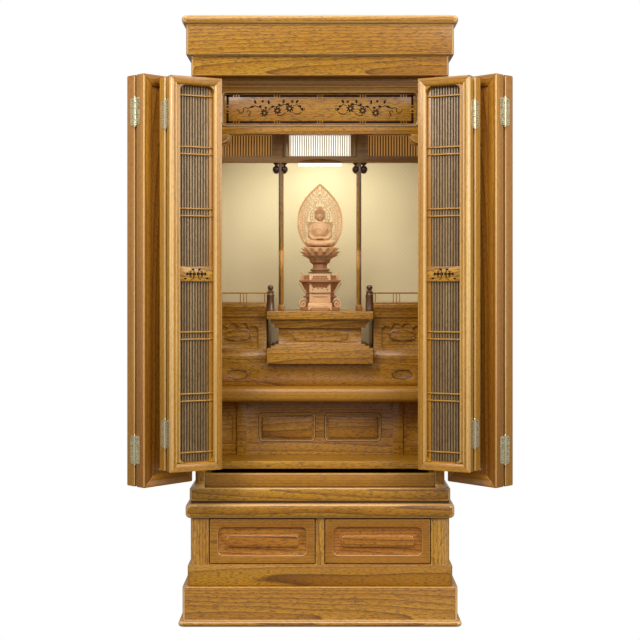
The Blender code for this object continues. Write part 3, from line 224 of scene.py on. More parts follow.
def antiqueBrass():
    # Pale antique brass, etched with a small running scroll whose hollows hold dark wax
    material, tree, shader = newMaterial("etched antique brass", {"Metallic": 1.0, "Roughness": 0.46})
    place = addNode(tree, "ShaderNodeAttribute", {"attribute_name": "grainPlace"}).outputs["Vector"]
    scroll = addNode(tree, "ShaderNodeTexVoronoi", {"feature": "DISTANCE_TO_EDGE", "Scale": 1 / (3.4 * mm),
                     "Randomness": 0.55}, {"Vector": place})
    curl = addNode(tree, "ShaderNodeTexWave", {"wave_type": "RINGS", "Scale": bandScale(2.4), "Distortion": 5.0,
                   "Detail": 1.0}, {"Vector": place})
    etched = addNode(tree, "ShaderNodeMath", {"operation": "MULTIPLY"},
                     {0: scroll.outputs["Distance"], 1: curl.outputs["Fac"]})
    tree.links.new(addRamp(tree, etched.outputs[0], [(0.01, "#6B5C38"), (0.05, "#E2D6AE"), (0.20, "#F0E7C6")]),
                   shader.inputs["Base Color"])
    bump = addNode(tree, "ShaderNodeBump", {"Strength": 0.4, "Distance": 0.1 * mm}, {"Height": etched.outputs[0]})
    tree.links.new(bump.outputs["Normal"], shader.inputs["Normal"])
    return material


def lampPaper(name, colour, power):
    # Backlit paper: bright, slightly cloudy
    material, tree, shader = newMaterial(name, {"Base Color": colour, "Roughness": 0.9, "Emission Color": colour})
    place = addNode(tree, "ShaderNodeTexCoord").outputs["Object"]
    fibres = addNode(tree, "ShaderNodeTexNoise", {"Scale": 1 / (14 * mm), "Detail": 4.0}, {"Vector": place})
    glow = addNode(tree, "ShaderNodeMapRange", {"To Min": power * 0.8, "To Max": power * 1.15},
                   {"Value": fibres.outputs["Fac"]})
    tree.links.new(glow.outputs["Result"], shader.inputs["Emission Strength"])
    return material


materials["cloth"] = brocadeCloth()
materials["gauze"] = backedGauze()
materials["brass"] = antiqueBrass()
materials["litPaper"] = lampPaper("backlit white paper", "#FFFDF4", 1.0)
# Painted light: the centre screen's wooden slats glow as if lit
materials["glowPaintedSlat"] = lampPaper("pale slat with painted glow", "#DDD6C4", 0.22)
materials["warmPaper"] = lampPaper("warm paper behind slats", "#BE8A48", 0.60)
# Plain brass pins, brushed by the drill: brighter than the etched plates; the screws are dots of painted shade
materials["pin"] = newMaterial("bright brass pin", {"Base Color": "#E6DDB8", "Metallic": 1.0, "Roughness": 0.28})[0]
# Painted shade: a dark colour put in gaps, openings and screw slots where shade falls
materials["slot"] = newMaterial("painted shade in a hollow", {"Base Color": "#2A1D10", "Roughness": 0.7})[0]
print("materials ready")


# Modelling steps

def pick(*pieces):
    bpy.ops.object.select_all(action="DESELECT")
    for piece in pieces:
        piece.select_set(True)
    bpy.context.view_layer.objects.active = pieces[0]


def editing(piece):
    pick(piece)
    bpy.ops.object.mode_set(mode="EDIT")
    bpy.ops.mesh.select_all(action="SELECT")


def doneEditing():
    bpy.ops.object.mode_set(mode="OBJECT")


def fixPlace(piece):
    pick(piece)
    bpy.ops.object.transform_apply(location=True, rotation=True, scale=True)
    return piece


def moveBy(piece, matrix):
    piece.data.transform(matrix)
    return piece


def linked(name, data):
    piece = bpy.data.objects.new(name, data)
    bpy.context.scene.collection.objects.link(piece)
    return piece


# Across, depth and along the grain for each way a board lies; "roundSide" is a moulding's side beyond its corner
grainOrders = {"X": (2, 1, 0), "Z": (0, 1, 2), "roundSide": (2, 0, 1)}


def layGrain(piece, layer, face, way, start):
    order = grainOrders[way]
    for corner in face.loop_indices:
        place = piece.data.vertices[piece.data.loops[corner].vertex_index].co
        layer.data[corner].vector = [place[order[i]] + start[i] for i in range(3)]


def dress(piece, finish, grain="Z"):
    # Gives a shape its material and the grain's own coordinates, so a board keeps its figure in any pose
    piece.data.materials.clear()
    piece.data.materials.append(materials[finish])
    shift = (random.uniform(-0.05, 0.05), random.uniform(0.02, 0.07), random.uniform(-0.6, 0.6))
    low = [min(vertex.co[i] for vertex in piece.data.vertices) for i in range(3)]
    starts = {way: [shift[i] - low[order[i]] * (i < 2) for i in range(3)] for way, order in grainOrders.items()}
    layer = piece.data.attributes.new("grainPlace", "FLOAT_VECTOR", "CORNER")
    for face in piece.data.polygons:
        way = ("roundSide" if abs(face.normal.x) > 0.7 else "X") if grain == "round" else grain
        layGrain(piece, layer, face, way, starts[way])
    return piece


def addBox(low, high):
    bpy.ops.object.select_all(action="DESELECT")
    bpy.ops.mesh.primitive_cube_add(size=1, location=(Vector(low) + Vector(high)) / 2,
                                    scale=Vector(high) - Vector(low))
    return fixPlace(bpy.context.active_object)


def addBlock(low, high, finish, grain="Z", edge=0.6, rounds=2):
    block = addBox(low, high)
    editing(block)
    bpy.ops.mesh.bevel(offset=edge * mm, segments=rounds)
    doneEditing()
    return dress(block, finish, grain)


def addTurned(profile, centre, finish, sides=24):
    # A round shape about an upright line, from (radius, height) pairs, extruded ring by ring
    radius, height = profile[0]
    bpy.ops.object.select_all(action="DESELECT")
    bpy.ops.mesh.primitive_circle_add(vertices=sides, radius=radius, fill_type="NGON", location=(*centre, height))
    shape = fixPlace(bpy.context.active_object)
    editing(shape)
    for nextRadius, nextHeight in profile[1:]:
        bpy.ops.mesh.extrude_region_move(TRANSFORM_OT_translate={"value": (0, 0, nextHeight - height)})
        bpy.ops.transform.resize(value=(nextRadius / radius, nextRadius / radius, 1),
                                 center_override=(*centre, nextHeight))
        radius, height = nextRadius, nextHeight
    bpy.ops.mesh.select_all(action="SELECT")
    bpy.ops.mesh.normals_make_consistent(inside=False)
    doneEditing()
    return dress(shape, finish)


def addSpline(curve, places):
    spline = curve.splines.new("POLY")
    spline.points.add(len(places) - 1)
    for point, place in zip(spline.points, places):
        point.co = (*place, 1)
    return spline


def asMesh(shape, gap):
    # The curve's mesh, with points nearer than the gap welded and its faces outwards
    pick(shape)
    bpy.ops.object.convert(target="MESH")
    shape = fixPlace(bpy.context.active_object)
    editing(shape)
    bpy.ops.mesh.remove_doubles(threshold=gap * mm)
    bpy.ops.mesh.normals_make_consistent(inside=False)
    doneEditing()
    return shape


def addOutlined(loops, nearY, farY, finish, grain="X", edge=0.5, rounds=2):
    # A flat shape standing upright: outlines of (x, z) points, the first one the rim and the others holes
    curve = bpy.data.curves.new("outline", "CURVE")
    curve.dimensions = "2D"
    curve.fill_mode = "BOTH"
    curve.extrude = (farY - nearY) / 2 - edge * mm
    curve.bevel_depth = edge * mm
    curve.bevel_resolution = rounds - 1
    curve.offset = -edge * mm
    for loop in loops:
        addSpline(curve, [(x, z, 0) for x, z in loop]).use_cyclic_u = True
    shape = linked("outline", curve)
    shape.rotation_euler = (math.radians(90), 0, 0)
    shape.location = (0, (nearY + farY) / 2, 0)
    return dress(asMesh(shape, 0.01), finish, grain)


def addTube(points, radii, finish, grain="Z", sides=2, flat=None):
    # A rod or tendril along points; radii is one size or one for each point
    # flat is the face at y that it is pressed on, and the share of its thickness that stays
    curve = bpy.data.curves.new("tube", "CURVE")
    curve.dimensions = "3D"
    curve.bevel_depth = 1.0
    curve.bevel_resolution = sides
    curve.use_fill_caps = True
    for i, point in enumerate(addSpline(curve, points).points):
        point.radius = radii if isinstance(radii, float) else radii[i]
    shape = asMesh(linked("tube", curve), 0.005)
    if flat:
        faceY, share = flat
        editing(shape)
        bpy.ops.transform.resize(value=(1, share, 1), center_override=(0, faceY, 0))
        doneEditing()
    return dress(shape, finish, grain)


def addBall(centre, size, finish, rings=10):
    # An egg or ball, from its half sizes in X, Y and Z
    bpy.ops.object.select_all(action="DESELECT")
    bpy.ops.mesh.primitive_uv_sphere_add(segments=rings * 2, ring_count=rings, radius=1, location=centre, scale=size)
    return dress(fixPlace(bpy.context.active_object), finish)


def easeEdges(piece, size, rounds, leastTurn):
    # Rounds the edges that turn by more than an angle, as sanding and lacquer leave them
    bevel = piece.modifiers.new("eased edges", "BEVEL")
    bevel.limit_method = "ANGLE"
    bevel.angle_limit = math.radians(leastTurn)
    bevel.width = size * mm
    bevel.segments = rounds
    pick(piece)
    bpy.ops.object.modifier_apply(modifier=bevel.name)


def softNode(name, finish, grain="X", edge=0.8, rounds=2):
    # The CAD node's own form with its hard edges eased
    copy = linked(name + " soft", nodes[name].data.copy())
    editing(copy)
    bpy.ops.mesh.remove_doubles(threshold=0.01 * mm)
    bpy.ops.mesh.dissolve_limited(angle_limit=math.radians(1))
    doneEditing()
    easeEdges(copy, edge, rounds, 40)
    return dress(copy, finish, grain)


def twinOf(shape):
    return linked(shape.name, shape.data.copy())


def mirrored(piece):
    # The right-hand twin of a left-hand shape
    twin = twinOf(piece)
    editing(twin)
    bpy.ops.transform.resize(value=(-1, 1, 1), center_override=(0, 0, 0))
    bpy.ops.mesh.normals_make_consistent(inside=False)
    doneEditing()
    return twin


def copied(shape, shift):
    twin = moveBy(twinOf(shape), Matrix.Translation(shift))
    for value in twin.data.attributes["grainPlace"].data:      # each copy shows another part of the grain
        value.vector = (value.vector[0] + shift[0] * 3, value.vector[1], value.vector[2] + shift[0] * 7)
    return twin


def assemble(name, shapes, body, standsFor=(), openedBy=None, smooth=40):
    # Joins shapes into one piece, opens it to rest with its leaf, and hands it to the frame
    pick(*shapes)
    if len(shapes) > 1:
        bpy.ops.object.join()
    piece = bpy.context.active_object
    piece.name = name
    piece.data.name = name
    if openedBy:
        piece.data.transform(openedBy)
    pick(piece)
    bpy.ops.object.shade_smooth_by_angle(angle=math.radians(smooth))
    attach(piece, body)
    if standsFor:
        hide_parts(*standsFor)
    return piece


def standIn(name, shapes, openedBy=None, smooth=40):
    # The piece that takes a CAD node's place
    return assemble("dressed_" + name, shapes, bodyOf[name], [name], openedBy, smooth)


def paintHighlight(piece, wanted):
    # Painted highlight: the wanted faces take the pale wood
    piece.data.materials.append(materials["paintedLight"])
    last = len(piece.data.materials) - 1
    for face in piece.data.polygons:
        if wanted(face):
            face.material_index = last
    return piece


# Painted highlight on the eased edges that turn sideways, up or down
def paintEdgeHighlights(piece, least=0.3):
    return paintHighlight(piece, lambda face: sum(abs(part) > least for part in face.normal) > 1 and face.normal.y < 0.1)


def regrain(piece, wanted, start):
    # Turns the grain upright on some faces, as where a post meets a rail
    layer = piece.data.attributes["grainPlace"]
    for face in piece.data.polygons:
        if wanted(face.center):
            layGrain(piece, layer, face, "Z", start)


def splitAt(piece, places):
    for x in places:
        editing(piece)
        bpy.ops.mesh.bisect(plane_co=(x, 0, 0), plane_no=(1, 0, 0))
        doneEditing()


def softened(names, finish, grain="X", edge=0.8, rounds=2, pale=False):
    for name in names:
        copy = softNode(name, finish, grain, edge, rounds)
        # With pale set, the eased edges get a painted highlight
        standIn(name, [paintEdgeHighlights(copy) if pale else copy])


def arcPoints(centre, radius, first, last, steps):
    turns = [math.radians(first + (last - first) * i / steps) for i in range(steps + 1)]
    return [(centre[0] + radius * math.cos(t), centre[1] + radius * math.sin(t)) for t in turns]


def roundedLoop(low, high, radius, steps=6):
    lefts, rights = (low[0] + radius, low[1] + radius), (high[0] - radius, high[1] - radius)
    centres = (rights, (lefts[0], rights[1]), lefts, (rights[0], lefts[1]))
    return [point for i, centre in enumerate(centres)
            for point in arcPoints(centre, radius, 90 * i, 90 * i + 90, steps)]


def openBy(names):
    # From doors shut to doors open: undoes each joint's travel, the outermost joint first
    matrix = Matrix.Identity(4)
    for name in names:
        joint = joints[name]
        place = Matrix.Translation(Vector(joint["pos_m"]))
        turn = Matrix.Rotation(-math.radians(joint["range_deg"][1]), 4, Vector(joint["axis"]))
        matrix = place @ turn @ place.inverted() @ matrix
    return matrix


def editEdges(piece, wanted):
    # Leaves edit mode on with only the wanted edges selected
    editing(piece)
    bpy.ops.mesh.select_mode(type="EDGE")
    bpy.ops.mesh.select_all(action="DESELECT")
    doneEditing()
    for edge in piece.data.edges:
        first, second = [piece.data.vertices[i].co for i in edge.vertices]
        edge.select = wanted(first, second)
    bpy.ops.object.mode_set(mode="EDIT")


def near(first, second):
    return abs(first - second) < 0.05 * mm


def addStick(low, high, moulds, mitres, finish, grain, edge):
    # A frame member: squared, its inner edges moulded, cut at the mitres, then eased all round
    stick = addBox(low, high)
    for axis, place, y, size, rounds in moulds:
        editEdges(stick, lambda a, b: near(a[axis], place) and near(b[axis], place) and near(a.y, y) and near(b.y, y))
        bpy.ops.mesh.bevel(offset=size * mm, segments=rounds)
        doneEditing()
    for corner, normal in mitres:
        editing(stick)
        bpy.ops.mesh.bisect(plane_co=corner, plane_no=normal, use_fill=True, clear_outer=True)
        doneEditing()
    easeEdges(stick, edge, 2, 50)
    return dress(stick, finish, grain)


def addMitredFrame(low, high, stile, rail, finish, mould, mouldRounds, soft, edge):
    (x0, y0, z0), (x1, y1, z1) = low, high
    middle = ((x0 + x1) / 2, (z0 + z1) / 2)
    members = [("Z", 0, x0 + stile, (x0, y0, z0), (x0 + stile, y1, z1)),
               ("Z", 0, x1 - stile, (x1 - stile, y0, z0), (x1, y1, z1)),
               ("X", 2, z0 + rail, (x0, y0, z0), (x1, y1, z0 + rail)),
               ("X", 2, z1 - rail, (x0, y0, z1 - rail), (x1, y1, z1))]
    sticks = []
    for grain, axis, inner, ownLow, ownHigh in members:
        moulds = [(axis, inner, y, mould, mouldRounds) for y in (y0, y1)]
        moulds += [(0, place, y, size, rounds) for place, y, size, rounds in soft
                   if grain == "Z" and (near(place, ownLow[0]) or near(place, ownHigh[0]))]
        own = ((ownLow[0] + ownHigh[0]) / 2, (ownLow[2] + ownHigh[2]) / 2)
        mitres = []
        for x, z in ((x0, z0), (x0, z1), (x1, z0), (x1, z1)):
            if not (ownLow[0] <= x <= ownHigh[0] and ownLow[2] <= z <= ownHigh[2]):
                continue
            slope = (math.copysign(stile, middle[0] - x), math.copysign(rail, middle[1] - z))
            normal = (-slope[1], 0, slope[0])
            if normal[0] * (own[0] - x) + normal[2] * (own[1] - z) > 0:
                normal = (slope[1], 0, -slope[0])
            mitres.append(((x, 0, z), normal))
        sticks.append(addStick(ownLow, ownHigh, moulds, mitres, finish, grain, edge))
    return sticks


def addSidewaysPlate(loop, lowX, highX, finish):
    # As addOutlined, for an outline of (y, z) points that faces left or right
    plate = addOutlined([loop], -highX, -lowX, finish, "Z", 0.2, 1)
    return moveBy(plate, Matrix.Rotation(math.radians(90), 4, "Z"))


# Carcase: the CAD forms with their edges eased

carcase = {"posts": (0.0112, 0.2353), "drawerRow": (0.128, 0.226), "frontY": -0.15, "postGrain": (0.03, 0.24, 0.4),
           "gap": ((-0.2755, -0.2075, 0.2602), (0.2755, -0.2000, 0.2638)), "shelfNose": 12}
middlePost, endPost = carcase["posts"]        # the posts beside the drawers, from the middle


def onPost(at):
    low, high = carcase["drawerRow"]
    return at.y < carcase["frontY"] and low < at.z < high and not middlePost <= abs(at.x) <= endPost


# The last True paints pale highlights on the eased edges, here and below
softened(["plinth", "ledge_board", "floor_board", "cornice"], "zelkova", "round", 1.2, 2, True)
drawerCase = softNode("drawer_case", "zelkova", "round", 1.0)
splitAt(drawerCase, (-endPost, -middlePost, middlePost, endPost))
regrain(drawerCase, onPost, carcase["postGrain"])
standIn("drawer_case", [drawerCase])
# Painted shadow: a dark block fills the gap where shade falls
assemble("shadow_gap", [addBlock(*carcase["gap"], "slot", "X", 0.2, 1)], "cabinet")
softened(["left_side", "right_side", "back_board"], "zelkova", "Z", 1.2, 2, True)
softened(["offering_tray"], "quiet", "X", 1.4, 2, True)
standIn("middle_shelf", [addBlock(*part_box("middle_shelf"), "quiet", "X", carcase["shelfNose"], 6)])
softened(["lower_shelf"], "strip", "X", 1.0)
softened(["head_moulding"], "quiet", "X", 1.4, 2, True)
softened([node for node in nodes if "body_hinge" in node], "brass", "Z", 0.2)
print("carcase dressed")


# Outer leaves: mitred frames round a sunk panel

outerLeaf = {"low": -0.227, "high": -0.201, "bottom": 0.305, "top": 1.164, "frame": 0.025, "chamfer": 4.0,
             "sunk": 0.005, "lap": 0.003, "round": 1.8, "hung": (-0.267, -0.13575), "free": (-0.13275, -0.0015)}


def addOuterLeaf(part):
    x0, x1 = outerLeaf[part]
    low = (x0, outerLeaf["low"], outerLeaf["bottom"])
    high = (x1, outerLeaf["high"], outerLeaf["top"])
    width = outerLeaf["frame"]
    sticks = addMitredFrame(low, high, width, width, "quietRedder", outerLeaf["chamfer"], 1, (), outerLeaf["round"])
    inset = width - outerLeaf["lap"]
    panel = addBlock((x0 + inset, low[1] + outerLeaf["sunk"], low[2] + inset),
                     (x1 - inset, high[1] - outerLeaf["sunk"], high[2] - inset), "redder", "Z")
    return sticks + [panel]


# Inner leaves: rounded frame, slats before gauze, cross bars and an inlaid middle plate

innerLeaf = {"low": -0.1975, "high": -0.1735, "bottom": 0.342, "top": 1.155, "stile": 0.017, "foldStile": 0.022,
             "rail": 0.018, "innerStrip": 0.008, "hung": (-0.245, -0.1185), "free": (-0.1155, -0.0025),
             "cornerRadius": 0.012, "reveal": 5.5, "slats": 11, "slatWidth": 0.0038, "slatDepth": 0.003,
             "barHeight": 0.0030, "barDepth": 0.0025, "barSink": 0.009, "plateHeight": 0.031, "barSpacing": 0.1275,
             "pairSpacing": 0.015, "endBar": 0.020, "lap": 0.003}
plateVine = {"scrollX": 0.0105, "scrollZ": 0.0042, "scroll": (0.0072, 0.0015), "leaves": (0.003, 0.0115, 0.020),
             "lineMm": 1.9}


def addCornerFill(x, z, turn, nearY, farY):
    # Rounds one corner of the opening
    radius = innerLeaf["cornerRadius"]
    centre = (x + radius * turn[0], z + radius * turn[1])
    lead = {(1, 1): 180, (-1, 1): 270, (-1, -1): 0, (1, -1): 90}[turn]
    loop = arcPoints(centre, radius, lead, lead + 90, 6) + [(x - turn[0] * mm, z - turn[1] * mm)]
    return addOutlined([loop], nearY, farY, "strip", "Z", 0.4)


def spiralPoints(centre, outer, inner, first, turn, steps=22):
    points = []
    for i in range(steps + 1):
        share = i / steps
        radius = outer + (inner - outer) * share ** 0.8
        angle = math.radians(first + turn * share)
        points.append((centre[0] + radius * math.cos(angle), centre[1] + radius * math.sin(angle)))
    return points


def inlayLine(points, y, width):
    # A flush black line: a tube pressed nearly flat on the face at y
    sizes = [width * mm / 2 * (1.0 if 0.1 < i / len(points) < 0.8 else 0.7) for i in range(len(points))]
    return addTube([(x, y, z) for x, z in points], sizes, "inlay", "Z", 1, (y, 0.3))


def addPlateVine(centreX, centreZ, faceY):
    # Two facing scrolls with leaflets, about the plate's middle
    shapes = []
    for side in (-1, 1):
        for first, turn, drop in ((90, 400, 1), (-90, -400, -1)):
            centre = (centreX + side * plateVine["scrollX"], centreZ + drop * plateVine["scrollZ"])
            spiral = spiralPoints(centre, *plateVine["scroll"], first if side > 0 else 180 - first, turn * side)
            shapes.append(inlayLine(spiral, faceY - 0.3 * mm, plateVine["lineMm"]))
        for i, reach in enumerate(plateVine["leaves"]):
            leafX = centreX + side * reach
            shapes.append(addBall((leafX, faceY - 0.2 * mm, centreZ), (0.0022, 0.0004, 0.0036), "inlay", 5))
            shapes.append(addBall((leafX + side * 0.004, faceY - 0.2 * mm, centreZ + 0.0095 * (1 - i)),
                                  (0.0032, 0.0004, 0.0018), "inlay", 5))
    return shapes


def addInnerLeaf(part):
    x0, x1 = innerLeaf[part]
    low = (x0, innerLeaf["low"], innerLeaf["bottom"])
    high = (x1, innerLeaf["high"], innerLeaf["top"])
    stile, rail = innerLeaf["stile"], innerLeaf["rail"]
    foldX = x1 if part == "hung" else x0
    soft = [(foldX, low[1], 8.5, 8), (foldX, high[1], 3.0, 4)]
    shapes = addMitredFrame(low, high, stile, rail, "quiet", innerLeaf["reveal"], 5, soft, 0.9)
    openX0, openX1, openZ0, openZ1 = x0 + stile, x1 - stile, low[2] + rail, high[2] - rail
    # A wider stile on the fold side
    extra = innerLeaf["foldStile"] - stile
    if part == "hung":
        openX1 -= extra
        wideX = (openX1, openX1 + extra + 5 * mm)
    else:
        openX0 += extra
        wideX = (openX0 - extra - 5 * mm, openX0)
    shapes.append(addBlock((wideX[0], low[1], openZ0), (wideX[1], high[1], openZ1), "quiet", "Z", 2.5, 4))
    for x, z, turn in ((openX0, openZ0, (1, 1)), (openX1, openZ0, (-1, 1)), (openX1, openZ1, (-1, -1)),
                       (openX0, openZ1, (1, -1))):
        shapes.append(addCornerFill(x, z, turn, low[1] + 1.2 * mm, high[1] - 6 * mm))

    middle = (openZ0 + openZ1) / 2
    barY = low[1] + innerLeaf["barSink"]
    offsets = [openZ1 - innerLeaf["endBar"] - middle]
    for row in (1, 2):
        offsets += [innerLeaf["barSpacing"] * row + half * innerLeaf["pairSpacing"] / 2 for half in (-1, 1)]
    barBackY = barY + innerLeaf["barDepth"]
    first = addBlock((openX0 - mm, barY, middle), (openX1 + mm, barBackY, middle + innerLeaf["barHeight"]),
                     "strip", "X", 0.7)
    for offset in [side * offset for offset in offsets for side in (-1, 1)]:
        shapes.append(copied(first, (0, 0, offset - innerLeaf["barHeight"] / 2)))
    bpy.data.objects.remove(first)
    half = innerLeaf["plateHeight"] / 2
    shapes.append(addBlock((openX0 - mm, barY - mm, middle - half), (openX1 + mm, barBackY, middle + half),
                           "zelkova", "X"))
    shapes += addPlateVine((openX0 + openX1) / 2, middle, barY - mm)
    return shapes


def addSlats(low, high, count, width, depth, finish):
    # Half-rounded slats between two rails; the space between them stays open
    pitch = (high[0] - low[0]) / count
    first = addBlock((low[0] + (pitch - width) / 2, low[1], low[2]),
                     (low[0] + (pitch + width) / 2, low[1] + depth, high[2]), finish, "Z", 0.8)
    return [first] + [copied(first, (pitch * i, 0, 0)) for i in range(1, count)]


def addInnerScreen(part):
    x0, x1 = innerLeaf[part]
    lap, depth = innerLeaf["lap"], innerLeaf["slatDepth"]
    slatY = innerLeaf["low"] + innerLeaf["barSink"] + 3.1 * mm
    openX0, openX1 = x0 + innerLeaf["stile"], x1 - innerLeaf["stile"]
    z0, z1 = innerLeaf["bottom"] + innerLeaf["rail"] - lap, innerLeaf["top"] - innerLeaf["rail"] + lap
    strip, fold = innerLeaf["innerStrip"], innerLeaf["foldStile"] - innerLeaf["stile"]
    slatX0, slatX1 = (openX0 + strip, openX1 - fold) if part == "hung" else (openX0 + fold, openX1 - strip)
    stripX = (openX0 - 2 * mm, slatX0) if part == "hung" else (slatX1, openX1 + 2 * mm)
    slats = addSlats((slatX0, slatY, z0), (slatX1, 0, z1), innerLeaf["slats"], innerLeaf["slatWidth"], depth,
                     "slatWood")
    slats.append(addBlock((stripX[0], slatY - mm, z0), (stripX[1], slatY + depth, z1), "quiet", "Z"))
    gauze = addBlock((openX0 - lap, slatY + depth, z0), (openX1 + lap, slatY + 3.6 * mm, z1), "gauze", "Z", 0.1, 1)
    return slats + [gauze]


# Hinges: five knuckles, two etched plates with scalloped corners, four screws to a plate

hinge = {"knuckle": 0.0025, "length": 0.060, "plate": 0.0010, "plateWidth": 0.0130, "fromEnd": 0.047,
         "scallop": 0.0030, "screw": 0.0012, "screwPlaces": (0.007, 0.022, 0.038, 0.053)}


def plateLoop(y0, y1, z0, z1):
    # A rectangle with a small bite out of each corner
    bite = hinge["scallop"]
    loop = []
    for y, z, first in ((y1, z1, 270), (y0, z1, 0), (y0, z0, 90), (y1, z0, 180)):
        loop += arcPoints((y, z), bite, first, first - 90, 4)
    return loop


def addHinge(pinX, pinY, edges, farY, bottom):
    hungParts, freeParts = [], []
    step = hinge["length"] / 5
    radius, top = hinge["knuckle"], bottom + hinge["length"]
    for i in range(5):
        z0, z1 = bottom + i * step + 0.2 * mm, bottom + (i + 1) * step - 0.2 * mm
        ring = [(radius - 0.4 * mm, z0), (radius, z0 + 0.4 * mm), (radius, z1 - 0.4 * mm), (radius - 0.4 * mm, z1)]
        (freeParts if i % 2 else hungParts).append(addTurned(ring, (pinX, pinY), "pin", 14))
    for z, way in ((bottom, -1), (top, 1)):
        hungParts.append(addBall((pinX, pinY, z + way * 0.8 * mm), (0.0021, 0.0021, 0.0022), "pin", 6))
    for parts, edgeX, way in ((hungParts, edges[0], 1), (freeParts, edges[1], -1)):
        face = edgeX + way * hinge["plate"]
        y0, y1 = sorted((pinY, farY))
        parts.append(addSidewaysPlate(plateLoop(y0, y1, bottom + mm, top - mm), *sorted((edgeX, face)), "brass"))
        for z in hinge["screwPlaces"]:
            y = y0 + (y1 - y0) * (0.62 if farY > pinY else 0.38)
            # Each screw is a dark dot of painted shade
            parts.append(addBall((face, y, bottom + z), (0.0004, hinge["screw"], hinge["screw"]), "slot", 5))
    return hungParts, freeParts


def longEdge(piece, face):
    # On a rounded upright edge that runs the height of a leaf
    heights = [piece.data.vertices[i].co.z for i in face.vertices]
    across, deep, up = [abs(part) for part in face.normal]
    return across > 0.15 and deep > 0.15 and up < 0.2 and max(heights) - min(heights) > 0.3


def shapesFor(side, shapes):
    return shapes if side == "left" else [mirrored(shape) for shape in shapes]


for family, leaf, addLeaf, pin, hungJoint in (
        ("outer", outerLeaf, addOuterLeaf, (-0.13425, -0.2298), "doors"),
        ("inner", innerLeaf, addInnerLeaf, (-0.1170, -0.1707), "inner_hinge")):
    farY = leaf["low"] + hinge["plateWidth"] if family == "outer" else leaf["high"] - hinge["plateWidth"]
    hungShapes, freeShapes = addLeaf("hung"), addLeaf("free")
    screens = {part: addInnerScreen(part) for part in ("hung", "free")} if family == "inner" else {}
    edges, fromEnd = (leaf["hung"][1], leaf["free"][0]), hinge["fromEnd"]
    hinges = {"lower": addHinge(*pin, edges, farY, leaf["bottom"] + fromEnd),
              "upper": addHinge(*pin, edges, farY, leaf["top"] - fromEnd - hinge["length"])}
    for side in ("right", "left"):
        hungOpen = openBy([f"{side}_{hungJoint}"])
        freeOpen = openBy([f"{side}_{hungJoint}", f"{side}_{family}_fold"])
        for part, shapes, opened in (("hung", hungShapes, hungOpen), ("free", freeShapes, freeOpen)):
            node = f"{side}_{family}_{part}_leaf"
            piece = standIn(node, shapesFor(side, shapes))
            # Painted highlight: the rounded upright edges take the pale wood
            paintHighlight(piece, lambda face: longEdge(piece, face))
            piece.data.transform(opened)
            if screens:
                standIn(node + "_screen", shapesFor(side, screens[part]), opened)
        for place, (hungParts, freeParts) in hinges.items():
            node = f"{side}_{family}_fold_hinge_{place}"
            standIn(node, shapesFor(side, hungParts), hungOpen)
            assemble(f"{node}_second_plate", shapesFor(side, freeParts), bodyOf[f"{side}_{family}_free_leaf"],
                     (), freeOpen)
print("leaves and hinges done")


# Drawers: a framed front round a sunk ring and a raised field

drawerFront = {"x": (0.0115, 0.235), "z": (0.131, 0.225), "face": -0.2084, "back": -0.204, "border": 0.017,
               "ringRadius": 0.012, "field": 0.018, "fieldRadius": 0.008}


def addDrawerFront(side):
    x0, x1 = sorted(side * x for x in drawerFront["x"])
    z0, z1 = drawerFront["z"]
    border, face, back = drawerFront["border"], drawerFront["face"], drawerFront["back"]
    inner = border + drawerFront["field"]
    rim = roundedLoop((x0, z0), (x1, z1), 0.0015, 3)
    ring = roundedLoop((x0 + border, z0 + border), (x1 - border, z1 - border), drawerFront["ringRadius"], 8)
    field = roundedLoop((x0 + inner, z0 + inner), (x1 - inner, z1 - inner), drawerFront["fieldRadius"], 8)
    # Painted highlight on the eased edges of the frame and the field
    return [paintEdgeHighlights(addOutlined([rim, ring], face - 1.2 * mm, back + mm, "quietRedder", "X", 1.5, 3), 0.5),
            paintEdgeHighlights(addOutlined([field], face - 0.6 * mm, back, "redder", "X", 1.5, 3), 0.5)]


for name, side in (("left_drawer", -1), ("right_drawer", 1)):
    standIn(name, addDrawerFront(side) + [softNode(name, "redder", "X", 0.6)])
print("drawers done")


# Head: transom with a black inlaid border and flower vines, lintel with curled brackets

transom = {"halfWide": 0.2467, "z": (1.0700, 1.1450), "face": -0.1592, "panel": -0.1536, "back": -0.146,
           "bead": 0.0024, "holeHalf": 0.2100, "corner": 0.009, "inlayWide": 0.0050}
# The border and vines are laid out in the photograph's pixels: a pixel's size at the transom, the picture's middle,
# and the row and height of the eye
layout = {"pixel": 2.178 * mm, "middle": 320, "eyeRow": 280, "eyeHeight": 0.736}


def transomPlace(x, y):
    return ((x - layout["middle"]) * layout["pixel"], layout["eyeHeight"] - (y - layout["eyeRow"]) * layout["pixel"])


def addBorder():
    # Dashes with two small squares at each break
    runs = [(226.5, 233.3), (234.3, 235.9), (236.9, 238.5), (239.5, 274.0), (275.0, 276.6), (277.6, 279.2),
            (280.2, 317.0), (318.0, 319.6)]
    rises = [(94.9, 105.2), (106.2, 107.8), (110.4, 112.0), (113.0, 123.3)]
    half, wide = transom["inlayWide"] / 2, 2 * layout["middle"]
    dashes = []
    for start, end in runs + [(wide - b, wide - a) for a, b in runs]:
        for y in (96.0, 122.2):
            (x0, z), (x1, z) = transomPlace(start, y), transomPlace(end, y)
            dashes.append((x0, z - half, x1, z + half, "X"))
    for top, foot in rises:
        for x in (227.6, 412.4):
            (xMid, z1), (xMid, z0) = transomPlace(x, top), transomPlace(x, foot)
            dashes.append((xMid - half, z0, xMid + half, z1, "Z"))
    return [addBlock((x0, transom["panel"] - 0.3 * mm, z0), (x1, transom["panel"] + mm, z1), "inlay", grain, 0.15, 1)
            for x0, z0, x1, z1, grain in dashes]


